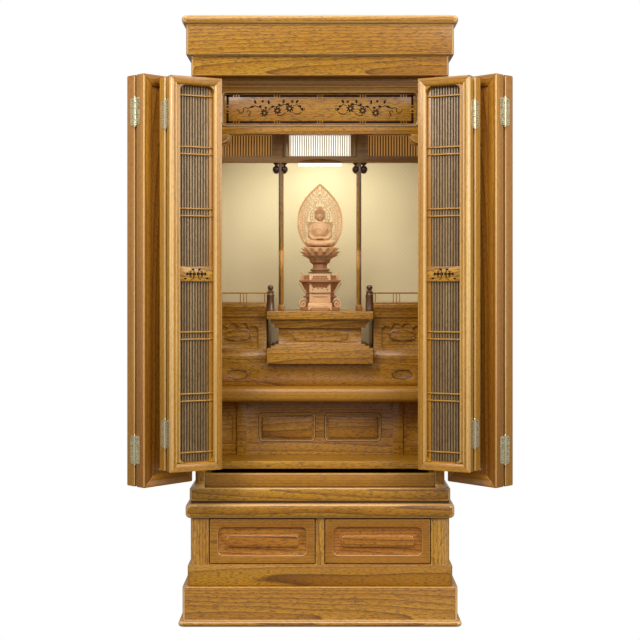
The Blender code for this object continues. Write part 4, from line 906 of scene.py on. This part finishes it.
def addPetal(x, y, length, width, angle):
    # A flush black lozenge-shaped leaf or petal, from its foot outwards
    footX, footZ = transomPlace(x, y)
    turn = math.radians(angle)
    reach = length * layout["pixel"] / 2
    petal = addBall((0, 0, 0), (reach, 0.3 * mm, width * layout["pixel"] / 2), "inlay", 5)
    place = Matrix.Translation((footX + reach * math.cos(turn), transom["panel"], footZ + reach * math.sin(turn)))
    return moveBy(petal, place @ Matrix.Rotation(-turn, 4, "Y"))


def addVine():
    # Half the pattern, to the left of the middle: three flowers, leaves and tendrils
    shapes = []
    for x, y, size in ((264.4, 113.0, 4.2), (277.4, 110.6, 4.0), (289.6, 108.4, 4.4)):
        for i in range(8):
            angle = 45 * i + 12
            start = (x + 0.9 * math.cos(math.radians(angle)), y - 0.9 * math.sin(math.radians(angle)))
            shapes.append(addPetal(*start, size * 0.80, 1.75, angle))
    for x, y, length, angle in (
            (254, 106, 4.2, 200), (256, 104, 4.4, 110), (258.5, 107, 3.6, 20), (269, 104.6, 4.6, 95),
            (271, 107.5, 3.4, 30), (267, 107, 3.0, 215), (283, 103.6, 4.4, 75), (285.6, 104.6, 3.6, 15),
            (281, 105.4, 3.4, 160), (296, 103.4, 4.4, 60), (298, 106, 3.6, 350), (293.6, 102.8, 3.6, 140),
            (262, 102.6, 3.0, 60), (300.6, 109.6, 3.2, 20)):
        shapes.append(addPetal(x, y, length, 2.2, angle))
    for points in (
            [(235, 110), (237.5, 109.6), (239, 112), (241.5, 113.4), (243.6, 111), (243, 109), (245, 107.6),
             (248, 108.4), (251, 107.2), (255, 105.8), (260, 107.6), (263, 110.6)],
            [(246.5, 112.6), (248, 110.6), (250.6, 111.4), (250, 113.6), (248.6, 115.4), (250.6, 116.4)],
            [(268, 111), (272, 106.6), (276, 106.8), (280, 106), (284, 104.4), (288, 105.4)],
            [(286, 112.6), (283, 114.6), (280, 115.8), (277, 115.2)],
            [(293, 106), (297, 104.6), (300, 107), (302.6, 110.6), (304.6, 109.6), (304, 107.6)],
            [(292, 112), (296, 114.4), (300, 113.6), (301.6, 111.8)]):
        shapes.append(inlayLine([transomPlace(x, y) for x, y in points], transom["panel"], 2.2))
    return shapes


def addTransom():
    half, (z0, z1) = transom["halfWide"], transom["z"]
    bead = transom["bead"]
    rim = roundedLoop((-half, z0), (half, z1), transom["corner"])
    hole = roundedLoop((-transom["holeHalf"], z0 + bead), (transom["holeHalf"], z1 - bead), transom["corner"])
    vine = addVine()
    return ([addOutlined([rim, hole], transom["face"], transom["panel"] + 2 * mm, "zelkova", "X", 1.6, 3),
             addBlock((-half, transom["panel"], z0), (half, transom["back"], z1), "strip", "X", 0.6)]
            + addBorder() + vine + [mirrored(shape) for shape in vine])


bracketCurl = {"place": (0.2160, 1.0535), "radius": 0.0190, "face": -0.1580, "back": -0.1500, "rimRadius": 0.0012}


def addCurl(side):
    # The bracket's rolled end under the lintel: a half disc with a raised rim
    x, z = bracketCurl["place"]
    face = bracketCurl["face"]
    fan = arcPoints((side * x, z), bracketCurl["radius"], 180, 360, 24)
    # The rim's pale wood is a painted highlight
    rim = addTube([(x, face - 0.5 * mm, z) for x, z in fan[2:-1]], bracketCurl["rimRadius"], "paintedLight", "X")
    return [addOutlined([fan], face, bracketCurl["back"], "quiet", "X", 2.0, 3), rim]


standIn("transom_panel", addTransom())
standIn("lintel", [softNode("lintel", "zelkova", "X", 1.4, 3)] + addCurl(-1) + addCurl(1))
print("transom and lintel done")


# Canopy: slats before lit paper, flat posts, half-round columns and hanging balls

canopy = {"columnX": 0.0765, "columnY": -0.0475, "columnRadius": 0.0074, "balls": (0.0990, 0.0815), "ballY": -0.040,
          "z": (1.016, 1.064), "cutAt": 1.0012, "quietFrom": 1.017, "sideSlats": 19, "centreSlats": 27,
          "slatWidth": 0.0029, "slatDepth": 0.0028, "diffuser": ((-0.0505, -0.0300, 0.9955), (0.0505, -0.0120, 1.0110))}
hangingBall = [(0.0014, 0.9765), (0.0050, 0.9781), (0.0078, 0.9822), (0.0087, 0.9865), (0.0078, 0.9906),
               (0.0054, 0.9932), (0.0034, 0.9946), (0.0034, 0.9968), (0.0066, 0.9984), (0.0072, 1.0002),
               (0.0068, 1.0014)]


def addCanopy():
    # Painted light: the frame above the lamp band and the columns take the pale wood, as if lit
    body = softNode("canopy_frame", "paintedLight", "X", 0.6)
    editing(body)
    bpy.ops.mesh.bisect(plane_co=(0, 0, canopy["cutAt"]), plane_no=(0, 0, 1), use_fill=True, clear_inner=True)
    doneEditing()
    body.data.materials.append(materials["quiet"])
    for face in body.data.polygons:
        face.material_index = 1 if face.center.z < canopy["quietFrom"] else 0
    shapes = [body]
    low, high = canopy["z"]
    for side in (-1, 1):
        shapes.append(addTurned([(canopy["columnRadius"], low - mm), (canopy["columnRadius"], high)],
                                (side * canopy["columnX"], canopy["columnY"]), "paintedLight"))
        for x in canopy["balls"]:
            shapes.append(addTurned(hangingBall, (side * x, canopy["ballY"]), "finial"))
    return shapes


standIn("canopy_frame", addCanopy())
for node in ("left_lamp_screen", "centre_lamp_screen", "right_lamp_screen"):
    (x0, y0, z0), (x1, y1, z1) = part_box(node)
    count, slatFinish, paperFinish = ((canopy["centreSlats"], "glowPaintedSlat", "litPaper") if node.startswith("centre")
                                      else (canopy["sideSlats"], "quiet", "warmPaper"))
    slats = addSlats((x0, y0, z0), (x1, 0, z1), count, canopy["slatWidth"], canopy["slatDepth"], slatFinish)
    standIn(node, slats + [addBlock((x0, y0 + 3 * mm, z0), (x1, y1, z1), paperFinish, "Z", 0.1, 1)])
diffuser = addBlock(*canopy["diffuser"], "litPaper", "X", 4.0, 4)
assemble("shrine_lamp_diffuser", [diffuser], "cabinet")
print("canopy and lamp screens done")


# Pillars: a dark strip of painted shade beside a golden one, for the side turned from the light

pillar = {"foot": 0.6788, "shadeLineMm": 1.6, "edgeMm": 5.5, "inset": 0.002}
for name, side in (("left_pillar", -1), ("right_pillar", 1)):
    (x0, y0, z0), (x1, y1, z1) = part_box(name)
    joint = (x0 + x1) / 2 + side * pillar["shadeLineMm"] * mm
    shapes = []
    # The umber half is painted shade
    for way, finish in ((1, "umber"), (-1, "strip")):
        edges = sorted((joint, (x0 + x1) / 2 + way * side * pillar["edgeMm"] * mm))
        shapes.append(addBlock((edges[0], y0 + pillar["inset"], pillar["foot"]), (edges[1], y1 - pillar["inset"], z1),
                               finish, "Z", 1.2))
    standIn(name, shapes + [addBlock((x0, y0, z0), (x1, y1, pillar["foot"] + mm), "strip", "Z", 1.6)])


# Railings: thin square sticks between two rails, and a dark turned newel

railing = {"y": -0.082, "half": 0.002, "foot": 0.6823, "top": 0.7083, "bar": 0.0030, "sill": 0.0035, "end": 0.2464,
           "newelX": 0.1105, "stickHalf": 0.0009, "sticks": (0.1235, 0.1637, 0.1706, 0.1780, 0.2190, 0.2258, 0.2326)}
newelProfile = [(0.0092, 0.6668), (0.0092, 0.6710), (0.0087, 0.6722), (0.0084, 0.6985), (0.0088, 0.7000),
                (0.0088, 0.7026), (0.0076, 0.7040), (0.0073, 0.7082), (0.0079, 0.7098), (0.0064, 0.7112),
                (0.0040, 0.7130), (0.0060, 0.7158), (0.0070, 0.7195), (0.0058, 0.7228), (0.0028, 0.7246),
                (0.0008, 0.7250)]
for name, side in (("left_railing", -1), ("right_railing", 1)):
    x0, x1 = sorted((side * railing["newelX"], side * railing["end"]))
    y0, y1 = railing["y"] - railing["half"], railing["y"] + railing["half"]
    foot, top, thin = railing["foot"], railing["top"], railing["stickHalf"]
    shapes = [addTurned(newelProfile, (side * railing["newelX"], railing["y"]), "umber"),
              addBlock((x0, y0 - 0.4 * mm, top - railing["bar"]), (x1, y1 + 0.4 * mm, top), "strip", "X", 0.9),
              addBlock((x0, y0, foot), (x1, y1, foot + railing["sill"]), "strip", "X")]
    for x in railing["sticks"]:
        shapes.append(addBlock((side * x - thin, y0 + 0.5 * mm, foot + mm), (side * x + thin, y1 - 0.5 * mm, top - mm),
                               "strip", "Z", 0.3, 1))
    standIn(name, shapes)
print("pillars and railings done")


# Shrine stand: the CAD forms, eased, with a dark line of painted shade in each hollow

softened(["cloth_panel"], "cloth", "Z", 0.5)
softened(["left_wing", "right_wing", "altar_riser", "lower_panel"], "zelkova", "X", 1.0)
softened(["dais"], "zelkova", "X", 1.3, 3)


def addTracery(name, loops, faceY, width, finish="umber"):
    shapes = [addTube([(x, faceY, z) for x, z in loop + loop[:1]], width * mm / 2, finish, "X", 1, (faceY, 0.7))
              for loop in loops]
    assemble(name, shapes, "cabinet")


def ovalLoop(x, z, halfX, halfZ, steps=28):
    return [(x + halfX * math.cos(2 * math.pi * i / steps), z + halfZ * math.sin(2 * math.pi * i / steps))
            for i in range(steps)]


def cloudLoop(x, z, halfX, halfZ, lobes):
    # A pointed cartouche with scalloped edges
    loop = []
    for i in range(lobes * 8):
        turn = 2 * math.pi * i / (lobes * 8)
        swell = 1 + 0.10 * abs(math.sin(turn * lobes / 2))
        loop.append((x + halfX * swell * math.cos(turn), z + halfZ * swell * math.sin(turn)))
    return loop


# Each incised line is a dark tube of painted shade beside a pale tube of painted highlight
lowerPanel = {"x": (0.0105, 0.137), "middleZ": 0.4057, "halfTall": 0.0315, "face": -0.0684,
              "lines": ((0.0, 0.010, 1.6, "umber"), (0.0018, 0.009, 1.3, "paintedLight"), (0.0150, 0.008, 1.6, "umber"),
                        (0.0168, 0.007, 1.3, "paintedLight"))}
# The transom's bead as two lines: a painted highlight outside and a painted shade inside
transomBead = {"halfWide": 0.2125, "z": (1.0708, 1.1444), "radius": 0.010, "face": -0.1594,
               "lines": ((0.0, 1.5, "paintedLight"), (0.0017, 1.4, "umber"))}
for side in (-1, 1):
    for inset, radius, wide, finish in lowerPanel["lines"]:
        x0, x1 = sorted((side * (lowerPanel["x"][0] + inset), side * (lowerPanel["x"][1] - inset)))
        half = lowerPanel["halfTall"] - inset * 0.6
        loop = roundedLoop((x0, lowerPanel["middleZ"] - half), (x1, lowerPanel["middleZ"] + half), radius)
        addTracery(f"lower_panel_line_{side}_{inset}", [loop], lowerPanel["face"], wide, finish)
for inset, wide, finish in transomBead["lines"]:
    half, (z0, z1) = transomBead["halfWide"] - inset, transomBead["z"]
    loop = roundedLoop((-half, z0 + inset), (half, z1 - inset), transomBead["radius"])
    addTracery(f"transom_bead_{finish}", [loop], transomBead["face"], wide, finish)
addTracery("riser_oval_line", [ovalLoop(side * 0.183, 0.5252, 0.0225, 0.0103) for side in (-1, 1)], -0.0832, 1.6)
addTracery("wing_cartouche_line", [cloudLoop(side * 0.1835, 0.6125, 0.0272, 0.0112, 6) for side in (-1, 1)],
           -0.0766, 1.4)
addTracery("die_cartouche_line", [cloudLoop(0, 0.611, 0.0585, 0.0098, 8)], -0.0845, 1.3)
print("stand done")


# The enshrined group, in pale carving timber: pedestal, lotus, robed figure and pierced halo

shrine = {"y": -0.018, "pedestal": 0.6668, "seat": 0.7826, "figure": 0.8104, "haloTop": 0.9590,
          "haloHalf": 0.052, "haloY": 0.0080, "headScale": 1.16}


def fused(shapes, grainSize, passes):
    # Shapes that overlap become one carved solid
    pick(*shapes)
    bpy.ops.object.join()
    solid = bpy.context.active_object
    for kind, settings in (("REMESH", {"mode": "VOXEL", "voxel_size": grainSize * mm}),
                           ("SMOOTH", {"factor": 0.5, "iterations": passes})):
        modifier = solid.modifiers.new(kind.lower(), kind)
        for setting, value in settings.items():
            setattr(modifier, setting, value)
        bpy.ops.object.modifier_apply(modifier=modifier.name)
    return dress(solid, "carving")


def around(shape, count, first=0.0):
    # Copies of a shape about the shrine's upright line
    copies = []
    for i in range(count):
        turn = Matrix.Rotation(2 * math.pi * (i + first) / count, 4, "Z")
        copies.append(moveBy(twinOf(shape), Matrix.Translation((0, shrine["y"], 0)) @ turn))
    bpy.data.objects.remove(shape)
    return copies


def addPedestal():
    y, z = shrine["y"], shrine["pedestal"]
    # Radius and height in mm, from the foot up
    core = [(49, 0), (49, 5), (45, 7), (34, 10), (32, 20), (34, 28), (41, 30.5), (41, 32.5), (35, 34), (35, 42),
            (38, 48), (44, 60), (47, 63.5), (51, 65), (51, 68.5), (41, 70), (40, 79.5), (26, 81), (24, 81.5), (22, 82),
            (25, 84), (25, 87), (20, 89), (24, 91), (24, 94), (17.5, 96), (17.5, 104.5), (24, 109), (26, 115.4)]
    shapes = [addTurned([(radius * mm, z + height * mm) for radius, height in core], (0, y), "umberPale", 8)]
    toMiddle = Matrix.Translation((0, -y, 0))
    moveBy(shapes[0], toMiddle.inverted() @ Matrix.Rotation(math.pi / 8, 4, "Z") @ toMiddle)
    front = y - 0.037
    # The squared front block with its openings painted as dark dots of shade, and the curled feet beside it
    shapes.append(addBlock((-0.0245, front, z + 0.016), (0.0245, y, z + 0.087), "carving", "Z", 2.2, 3))
    shapes.append(addBlock((-0.0275, front - 0.004, z), (0.0275, y, z + 0.017), "carving", "X", 2.5, 3))
    for side in (-1, 1):
        for height, thick, reach in ((0.0385, 0.0026, 0.0275), (0.0610, 0.0024, 0.0285), (0.0850, 0.0030, 0.0275)):
            shapes.append(addBlock((-reach, front - 0.0025, z + height), (reach, y, z + height + thick), "carving", "X",
                                   0.9))
        roll = spiralPoints((side * 0.0385, z + 0.0150), 0.0098, 0.0014, 90, -side * 560, 40)
        shapes.append(addTube([(px, y - 0.020, pz) for px, pz in roll], 0.0019, "carving"))
        shapes.append(addBall((side * 0.0385, y - 0.017, z + 0.0150), (0.0092, 0.0030, 0.0092), "umberPale", 10))
        horn = [(0.041, 0.066), (0.0415, 0.074), (0.0405, 0.082), (0.0425, 0.087), (0.0445, 0.0865)]
        shapes.append(addTube([(side * px, y - 0.012, z + pz) for px, pz in horn],
                              [0.0030, 0.0026, 0.0021, 0.0017, 0.0010], "carving"))
        for drop in (0.0, 0.5, 1.0):
            shapes.append(addTube([(side * (0.030 + 0.018 * (1 - drop)), y - 0.012, z + 0.062),
                                   (side * (0.028 + 0.012 * (1 - drop)), y - 0.014, z + 0.050),
                                   (side * (0.028 + 0.006 * (1 - drop)), y - 0.016, z + 0.040)], 0.0015, "carving"))
        for px, pz in ((0.0150, 0.0765), (0.0060, 0.0770), (0.0175, 0.0720), (0.0095, 0.0715), (0.0030, 0.0718),
                       (0.0140, 0.0520), (0.0090, 0.0545), (0.0045, 0.0500), (0.0165, 0.0475)):
            # The openings: dark dots of painted shade
            shapes.append(addBall((side * px, front - 0.0002, z + pz), (0.0016, 0.0008, 0.0012), "slot", 5))
        for px, pz, size in ((0.0115, 0.0270, 0.0058), (0.0135, 0.0080, 0.0062)):
            leaf = spiralPoints((side * px, z + pz), size, 0.0010, 200 if side > 0 else -20, side * 480, 26)
            leafY = front - (0.0045 if pz < 0.017 else 0.0002)
            shapes.append(addTube([(qx, leafY, qz) for qx, qz in leaf], 0.0009, "carving"))
        shapes.append(addTube([(side * 0.0215, front, z + height) for height in (0.018, 0.038)], 0.0022, "carving"))
    return shapes


def addLotus():
    # Three rows of cupped, pointed petals round a seed head
    y, z = shrine["y"], shrine["seat"]
    head = [(0.0245, z), (0.030, z + 0.006), (0.036, z + 0.015), (0.0385, z + 0.024), (0.0380, z + 0.0274)]
    shapes = [addTurned(head, (0, y), "carving", 32)]
    for count, first, radius, height, tall, lean, curl in ((14, 0.0, 0.0255, 0.0000, 0.0235, 56, -0.0040),
                                                           (14, 0.5, 0.0310, 0.0035, 0.0250, 44, -0.0045),
                                                           (14, 0.0, 0.0340, 0.0090, 0.0225, 32, -0.0030),
                                                           (14, 0.5, 0.0350, 0.0110, 0.0170, 16, 0.0030)):
        petal = addBall((0, 0, tall / 2), (0.0072, 0.0014, tall / 2), "carving", 8)
        for vertex in petal.data.vertices:
            share = vertex.co.z / tall
            vertex.co.x *= 1.15 - 0.55 * share ** 3                       # drawn to a point
            vertex.co.y += 60 * vertex.co.x ** 2 + curl * share ** 3       # cupped, the tip turned out or in
        tilt = Matrix.Rotation(math.radians(lean), 4, "X")
        moveBy(petal, Matrix.Translation((0, -radius + 0.004, z + height)) @ tilt)
        shapes += around(petal, count, first)
    return shapes


def limb(points, radii):
    return addTube(points, radii, "carving", "Z", 4)


def addFigure():
    # A seated robed figure, calm and plain: head, shawl over both shoulders, folded legs, hands in the lap
    x, y, z = 0.0, shrine["y"] - 0.004, shrine["figure"]
    body = [addBall((x, y - 0.001, z + 0.034), (0.0195, 0.0175, 0.026), "carving", 14),
            addBall((x, y + 0.001, z + 0.046), (0.0205, 0.0135, 0.0125), "carving", 14),
            addBall((x, y, z + 0.0080), (0.0325, 0.0205, 0.0090), "carving", 14),
            addBall((x, y - 0.005, z + 0.0105), (0.0250, 0.0170, 0.0085), "carving", 14),
            limb([(x, y, z + 0.050), (x, y - 0.001, z + 0.060)], [0.0062, 0.0052])]
    for side in (-1, 1):
        body.append(limb([(side * 0.0165, y, z + 0.0500), (side * 0.0200, y - 0.002, z + 0.038),
                          (side * 0.0215, y - 0.005, z + 0.027), (side * 0.0170, y - 0.013, z + 0.0200),
                          (side * 0.0070, y - 0.0175, z + 0.0185)], [0.0068, 0.0070, 0.0064, 0.0050, 0.0040]))
        body.append(addBall((side * 0.0235, y - 0.008, z + 0.0095), (0.0105, 0.0115, 0.0085), "carving", 12))
        body.append(limb([(side * 0.026, y - 0.009, z + 0.0105), (side * 0.012, y - 0.0185, z + 0.0085),
                          (-side * 0.006, y - 0.0215, z + 0.0070)], [0.0070, 0.0062, 0.0048]))
    body.append(addBall((x, y - 0.0195, z + 0.0205), (0.0085, 0.0045, 0.0030), "carving", 10))
    # Folds: rolls that fall from the shoulders to the lap, and over the sleeves
    for side in (-1, 1):
        for i in range(4):
            body.append(limb([(side * (0.0080 + 0.0030 * i), y - 0.0105, z + 0.0560 - 0.0015 * i),
                              (side * (0.0065 + 0.0028 * i), y - 0.0165, z + 0.0430),
                              (side * (0.0010 + 0.0030 * i), y - 0.0185, z + 0.0285 - 0.0008 * i)],
                             [0.0007, 0.0011, 0.0008]))
        for i in range(4):
            body.append(limb([(side * (0.0275 + 0.0006 * i), y - 0.001, z + 0.0440 - 0.0062 * i),
                              (side * 0.0245, y - 0.0090, z + 0.0395 - 0.0062 * i),
                              (side * 0.0185, y - 0.0110, z + 0.0365 - 0.0050 * i)], [0.0006, 0.0011, 0.0006]))
            body.append(limb([(side * (0.0330 - 0.0030 * i), y - 0.0105 - 0.0026 * i, z + 0.0140 - 0.0008 * i),
                              (side * (0.0240 - 0.0042 * i), y - 0.0185 - 0.0012 * i, z + 0.0100),
                              (side * (0.0130 - 0.0040 * i), y - 0.0232, z + 0.0050)], [0.0006, 0.0011, 0.0007]))
        # The shawl's edge from neck to lap
        body.append(limb([(side * 0.0068, y - 0.0030, z + 0.0575), (side * 0.0105, y - 0.0125, z + 0.0500),
                          (side * 0.0095, y - 0.0155, z + 0.0390), (side * 0.0070, y - 0.0160, z + 0.0280)], 0.0014))
    robed = fused(body, 0.55, 3)

    # Head: plain oval face, lowered eyelids, small mouth, long ears, topknot and rows of curls
    h = z + 0.0695
    head = [addBall((x, y - 0.0005, h), (0.0092, 0.0092, 0.0112), "carving", 16),
            addBall((x, y + 0.0010, h + 0.0050), (0.0097, 0.0095, 0.0078), "carving", 14),
            addBall((x, y + 0.0005, h + 0.0125), (0.0056, 0.0056, 0.0042), "carving", 12),
            limb([(x, y - 0.0088, h + 0.0022), (x, y - 0.0100, h - 0.0012), (x, y - 0.0098, h - 0.0020)],
                 [0.0008, 0.0012, 0.0013]),
            limb([(-0.0020, y - 0.0086, h - 0.0052), (0, y - 0.0091, h - 0.0050), (0.0020, y - 0.0086, h - 0.0052)],
                 [0.0004, 0.0008, 0.0004])]
    for side in (-1, 1):
        head.append(addBall((side * 0.0036, y - 0.0079, h + 0.0004), (0.0022, 0.0013, 0.0010), "carving", 8))
        head.append(limb([(side * 0.0014, y - 0.0088, h + 0.0032), (side * 0.0036, y - 0.0085, h + 0.0039),
                          (side * 0.0060, y - 0.0071, h + 0.0030)], 0.0005))
        head.append(limb([(side * 0.0095, y + 0.0005, h + 0.0030), (side * 0.0102, y, h - 0.0020),
                          (side * 0.0094, y - 0.0005, h - 0.0070)], [0.0014, 0.0016, 0.0013]))
    crown = fused(head, 0.35, 1)
    curls = []
    for row, (radius, height) in enumerate(((0.0098, 0.0052), (0.0097, 0.0072), (0.0088, 0.0092), (0.0071, 0.0110),
                                            (0.0056, 0.0128), (0.0048, 0.0146), (0.0028, 0.0163))):
        count = max(6, int(radius * 2 * math.pi / 0.0024))
        for i in range(count):
            turn = 2 * math.pi * (i + row % 2 / 2) / count
            if not curls:
                curls.append(addBall((0, 0, 0), (0.0012, 0.0012, 0.0012), "carving", 4))
            curls.append(copied(curls[0], (radius * math.cos(turn), y + radius * math.sin(turn), h + height)))
    bpy.data.objects.remove(curls[0])
    neck = Vector((x, y, z + 0.0570))
    larger = Matrix.Translation(neck) @ Matrix.Scale(shrine["headScale"], 4) @ Matrix.Translation(-neck)
    return [robed] + [moveBy(shape, larger) for shape in [crown] + curls[1:]]


def haloHalf(share):
    # Half-width of the leaf-shaped halo, as a share of its full one
    if share < 0.36:
        return 0.48 + 0.52 * math.sin(math.pi / 2 * share / 0.36) ** 0.6
    return math.cos(math.pi / 2 * ((share - 0.36) / 0.64) ** 1.35)


def haloLoop(scale, steps=40):
    height = shrine["haloTop"] - shrine["figure"]
    middle = shrine["figure"] + height * 0.40
    points = []
    for i in range(steps + 1):
        share = i / steps
        points.append((shrine["haloHalf"] * haloHalf(share) * scale,
                       middle + (shrine["figure"] + height * share - middle) * scale))
    return points + [(-px, pz) for px, pz in reversed(points[:-1])]


def addHalo():
    # A pierced leaf: outer rim, inner rings and cloud curls that touch one another
    y = shrine["haloY"]
    shapes = [addOutlined([haloLoop(1.0), haloLoop(0.93)], y, y + 0.004, "carving", "Z", 0.7),
              addOutlined([haloLoop(0.83), haloLoop(0.80)], y + 0.0004, y + 0.0036, "carving", "Z", 0.4)]
    headZ = shrine["figure"] + 0.0720
    for outer, inner in ((0.0235, 0.0215), (0.0175, 0.0160)):
        shapes.append(addOutlined([ovalLoop(0, headZ, outer, outer, 40), ovalLoop(0, headZ, inner, inner, 40)],
                                  y, y + 0.0036, "carving", "Z", 0.5))
    for i in range(16):
        turn = 2 * math.pi * i / 16
        shapes.append(addTube([(reach * math.cos(turn), y + 0.002, headZ + reach * math.sin(turn))
                               for reach in (0.0160, 0.0225)], 0.0010, "carving"))
    # Body screen behind the shoulders, then the curls up both sides
    low = [(px, pz) for px, pz in haloLoop(0.58) if pz < headZ - 0.012]
    shapes.append(addOutlined([low], y + 0.001, y + 0.003, "carving", "Z", 0.3))
    for ring, size, start, count in ((0.885, 0.0040, 0.10, 20), (0.72, 0.0052, 0.16, 15), (0.60, 0.0042, 0.35, 9)):
        loop = haloLoop(ring, 80)[:81]
        for i in range(count):
            px, pz = loop[int(80 * (start + (0.985 - start) * i / (count - 1)))]
            if math.hypot(px, pz - headZ) < 0.0235 or px < 0.002:
                continue
            for side in (-1, 1):
                curl = spiralPoints((side * px, pz), size, 0.0009, 250 if side > 0 else -70, side * 430, 16)
                tail = [(side * (px + size * 1.5), pz + size * 1.5)] if i % 2 else []
                shapes.append(addTube([(cx, y + 0.0012, cz) for cx, cz in tail + curl], 0.0009, "carving", "Z", 1))
    for dx, dz, size in ((0.0070, 0.1040, 0.0055), (0.0, 0.1180, 0.0045), (0.0140, 0.0955, 0.0045)):
        for side in ((-1, 1) if dx else (1,)):
            curl = spiralPoints((side * dx, shrine["figure"] + dz), size, 0.0009, 90, side * 480, 20)
            shapes.append(addTube([(cx, y + 0.0010, cz) for cx, cz in curl], 0.0010, "carving", "Z", 1))
    foot = shrine["figure"]
    shapes.append(addBlock((-0.020, y, foot), (0.020, y + 0.004, foot + 0.004), "carving", "X", 0.5))
    return shapes


for name, addShapes in (("figure_pedestal", addPedestal), ("lotus_seat", addLotus), ("enshrined_figure", addFigure),
                        ("flame_halo", addHalo)):
    standIn(name, addShapes(), None, 35)
print("enshrined group done")


# Camera and lights

camera = {"distance": 2.75, "focalPixels": 1283.0, "horizonUp": 40.0, "frame": 640.0}
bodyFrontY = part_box("left_side")[0][1]
cameraData = bpy.data.cameras.new("photo camera")
cameraData.sensor_fit = "HORIZONTAL"
cameraData.lens = cameraData.sensor_width * camera["focalPixels"] / camera["frame"]
cameraData.shift_y = -camera["horizonUp"] / camera["frame"]
cameraData.clip_end = 50.0
cameraObject = linked("photo camera", cameraData)
cameraObject.location = (0.0, bodyFrontY - camera["distance"], layout["eyeHeight"])
cameraObject.rotation_euler = (math.radians(90), 0.0, 0.0)
bpy.context.scene.camera = cameraObject
bpy.context.scene.view_settings.view_transform = "Standard"


def addAreaLight(name, place, target, size, power, tint="#FFFFFF", tall=None):
    light = bpy.data.lights.new(name, "AREA")
    light.size = size
    if tall:
        light.shape = "RECTANGLE"
        light.size_y = tall
    light.energy = power
    light.color = hexColour(tint)[:3]
    lamp = linked(name, light)
    lamp.location = place
    lamp.rotation_euler = (Vector(target) - Vector(place)).to_track_quat("-Z", "Y").to_euler()


addAreaLight("key softbox", (-1.5, -2.6, 2.7), (0, 0, 1.0), 1.1, 62)
addAreaLight("fill softbox", (1.9, -2.7, 1.9), (0, 0, 0.95), 1.5, 46)
addAreaLight("top softbox", (0.0, -1.3, 2.8), (0, 0, 1.0), 1.4, 30)
addAreaLight("shrine lamp", (0.0, 0.07, 1.055), (0.0, 0.16, 0.75), 0.12, 0.06, "#FFF6E2")
addAreaLight("niche lamp strip", (0.0, -0.02, 0.998), (0.0, 0.21, 0.70), 0.42, 0.24, "#FFF8EA", 0.02)
addAreaLight("niche lamp glow", (0.0, 0.120, 1.000), (0.0, 0.2137, 0.95), 0.14, 0.10, "#FFF6E2", 0.02)
for name, side in (("left", -1), ("right", 1)):
    addAreaLight(name + " strip light", (side * 2.4, -1.0, 1.0), (0, -0.2, 0.8), 0.7, 8, "#FFFFFF", 2.0)
    addAreaLight(name + " low glow", (side * 0.15, -0.03, 0.84), (side * 0.15, 0.21, 0.74), 0.16, 0.10, "#FFF8E8")
    addAreaLight(name + " shrine glow", (side * 0.15, 0.02, 0.99), (side * 0.15, 0.2, 0.8), 0.16, 0.26, "#FFF8E8")

# Seen by the camera the surround is plain white, as in the cut-out photograph; it lights softly, less from below
world = bpy.data.worlds.new("white studio")
world.use_nodes = True
sky = world.node_tree
way = addNode(sky, "ShaderNodeTexCoord").outputs["Generated"]
height = addNode(sky, "ShaderNodeSeparateXYZ", links={"Vector": way}).outputs["Z"]
soft = addNode(sky, "ShaderNodeMapRange", {"From Min": -0.3, "From Max": 0.5, "To Min": 0.22, "To Max": 0.70},
               {"Value": height})
seen = addNode(sky, "ShaderNodeLightPath").outputs["Is Camera Ray"]
power = addNode(sky, "ShaderNodeMix", {"data_type": "FLOAT", 3: 1.0}, {0: seen, 2: soft.outputs["Result"]})
sky.nodes["Background"].inputs["Color"].default_value = (1, 1, 1, 1)
sky.links.new(power.outputs[0], sky.nodes["Background"].inputs["Strength"])
bpy.context.scene.world = world
print("camera and lights ready")
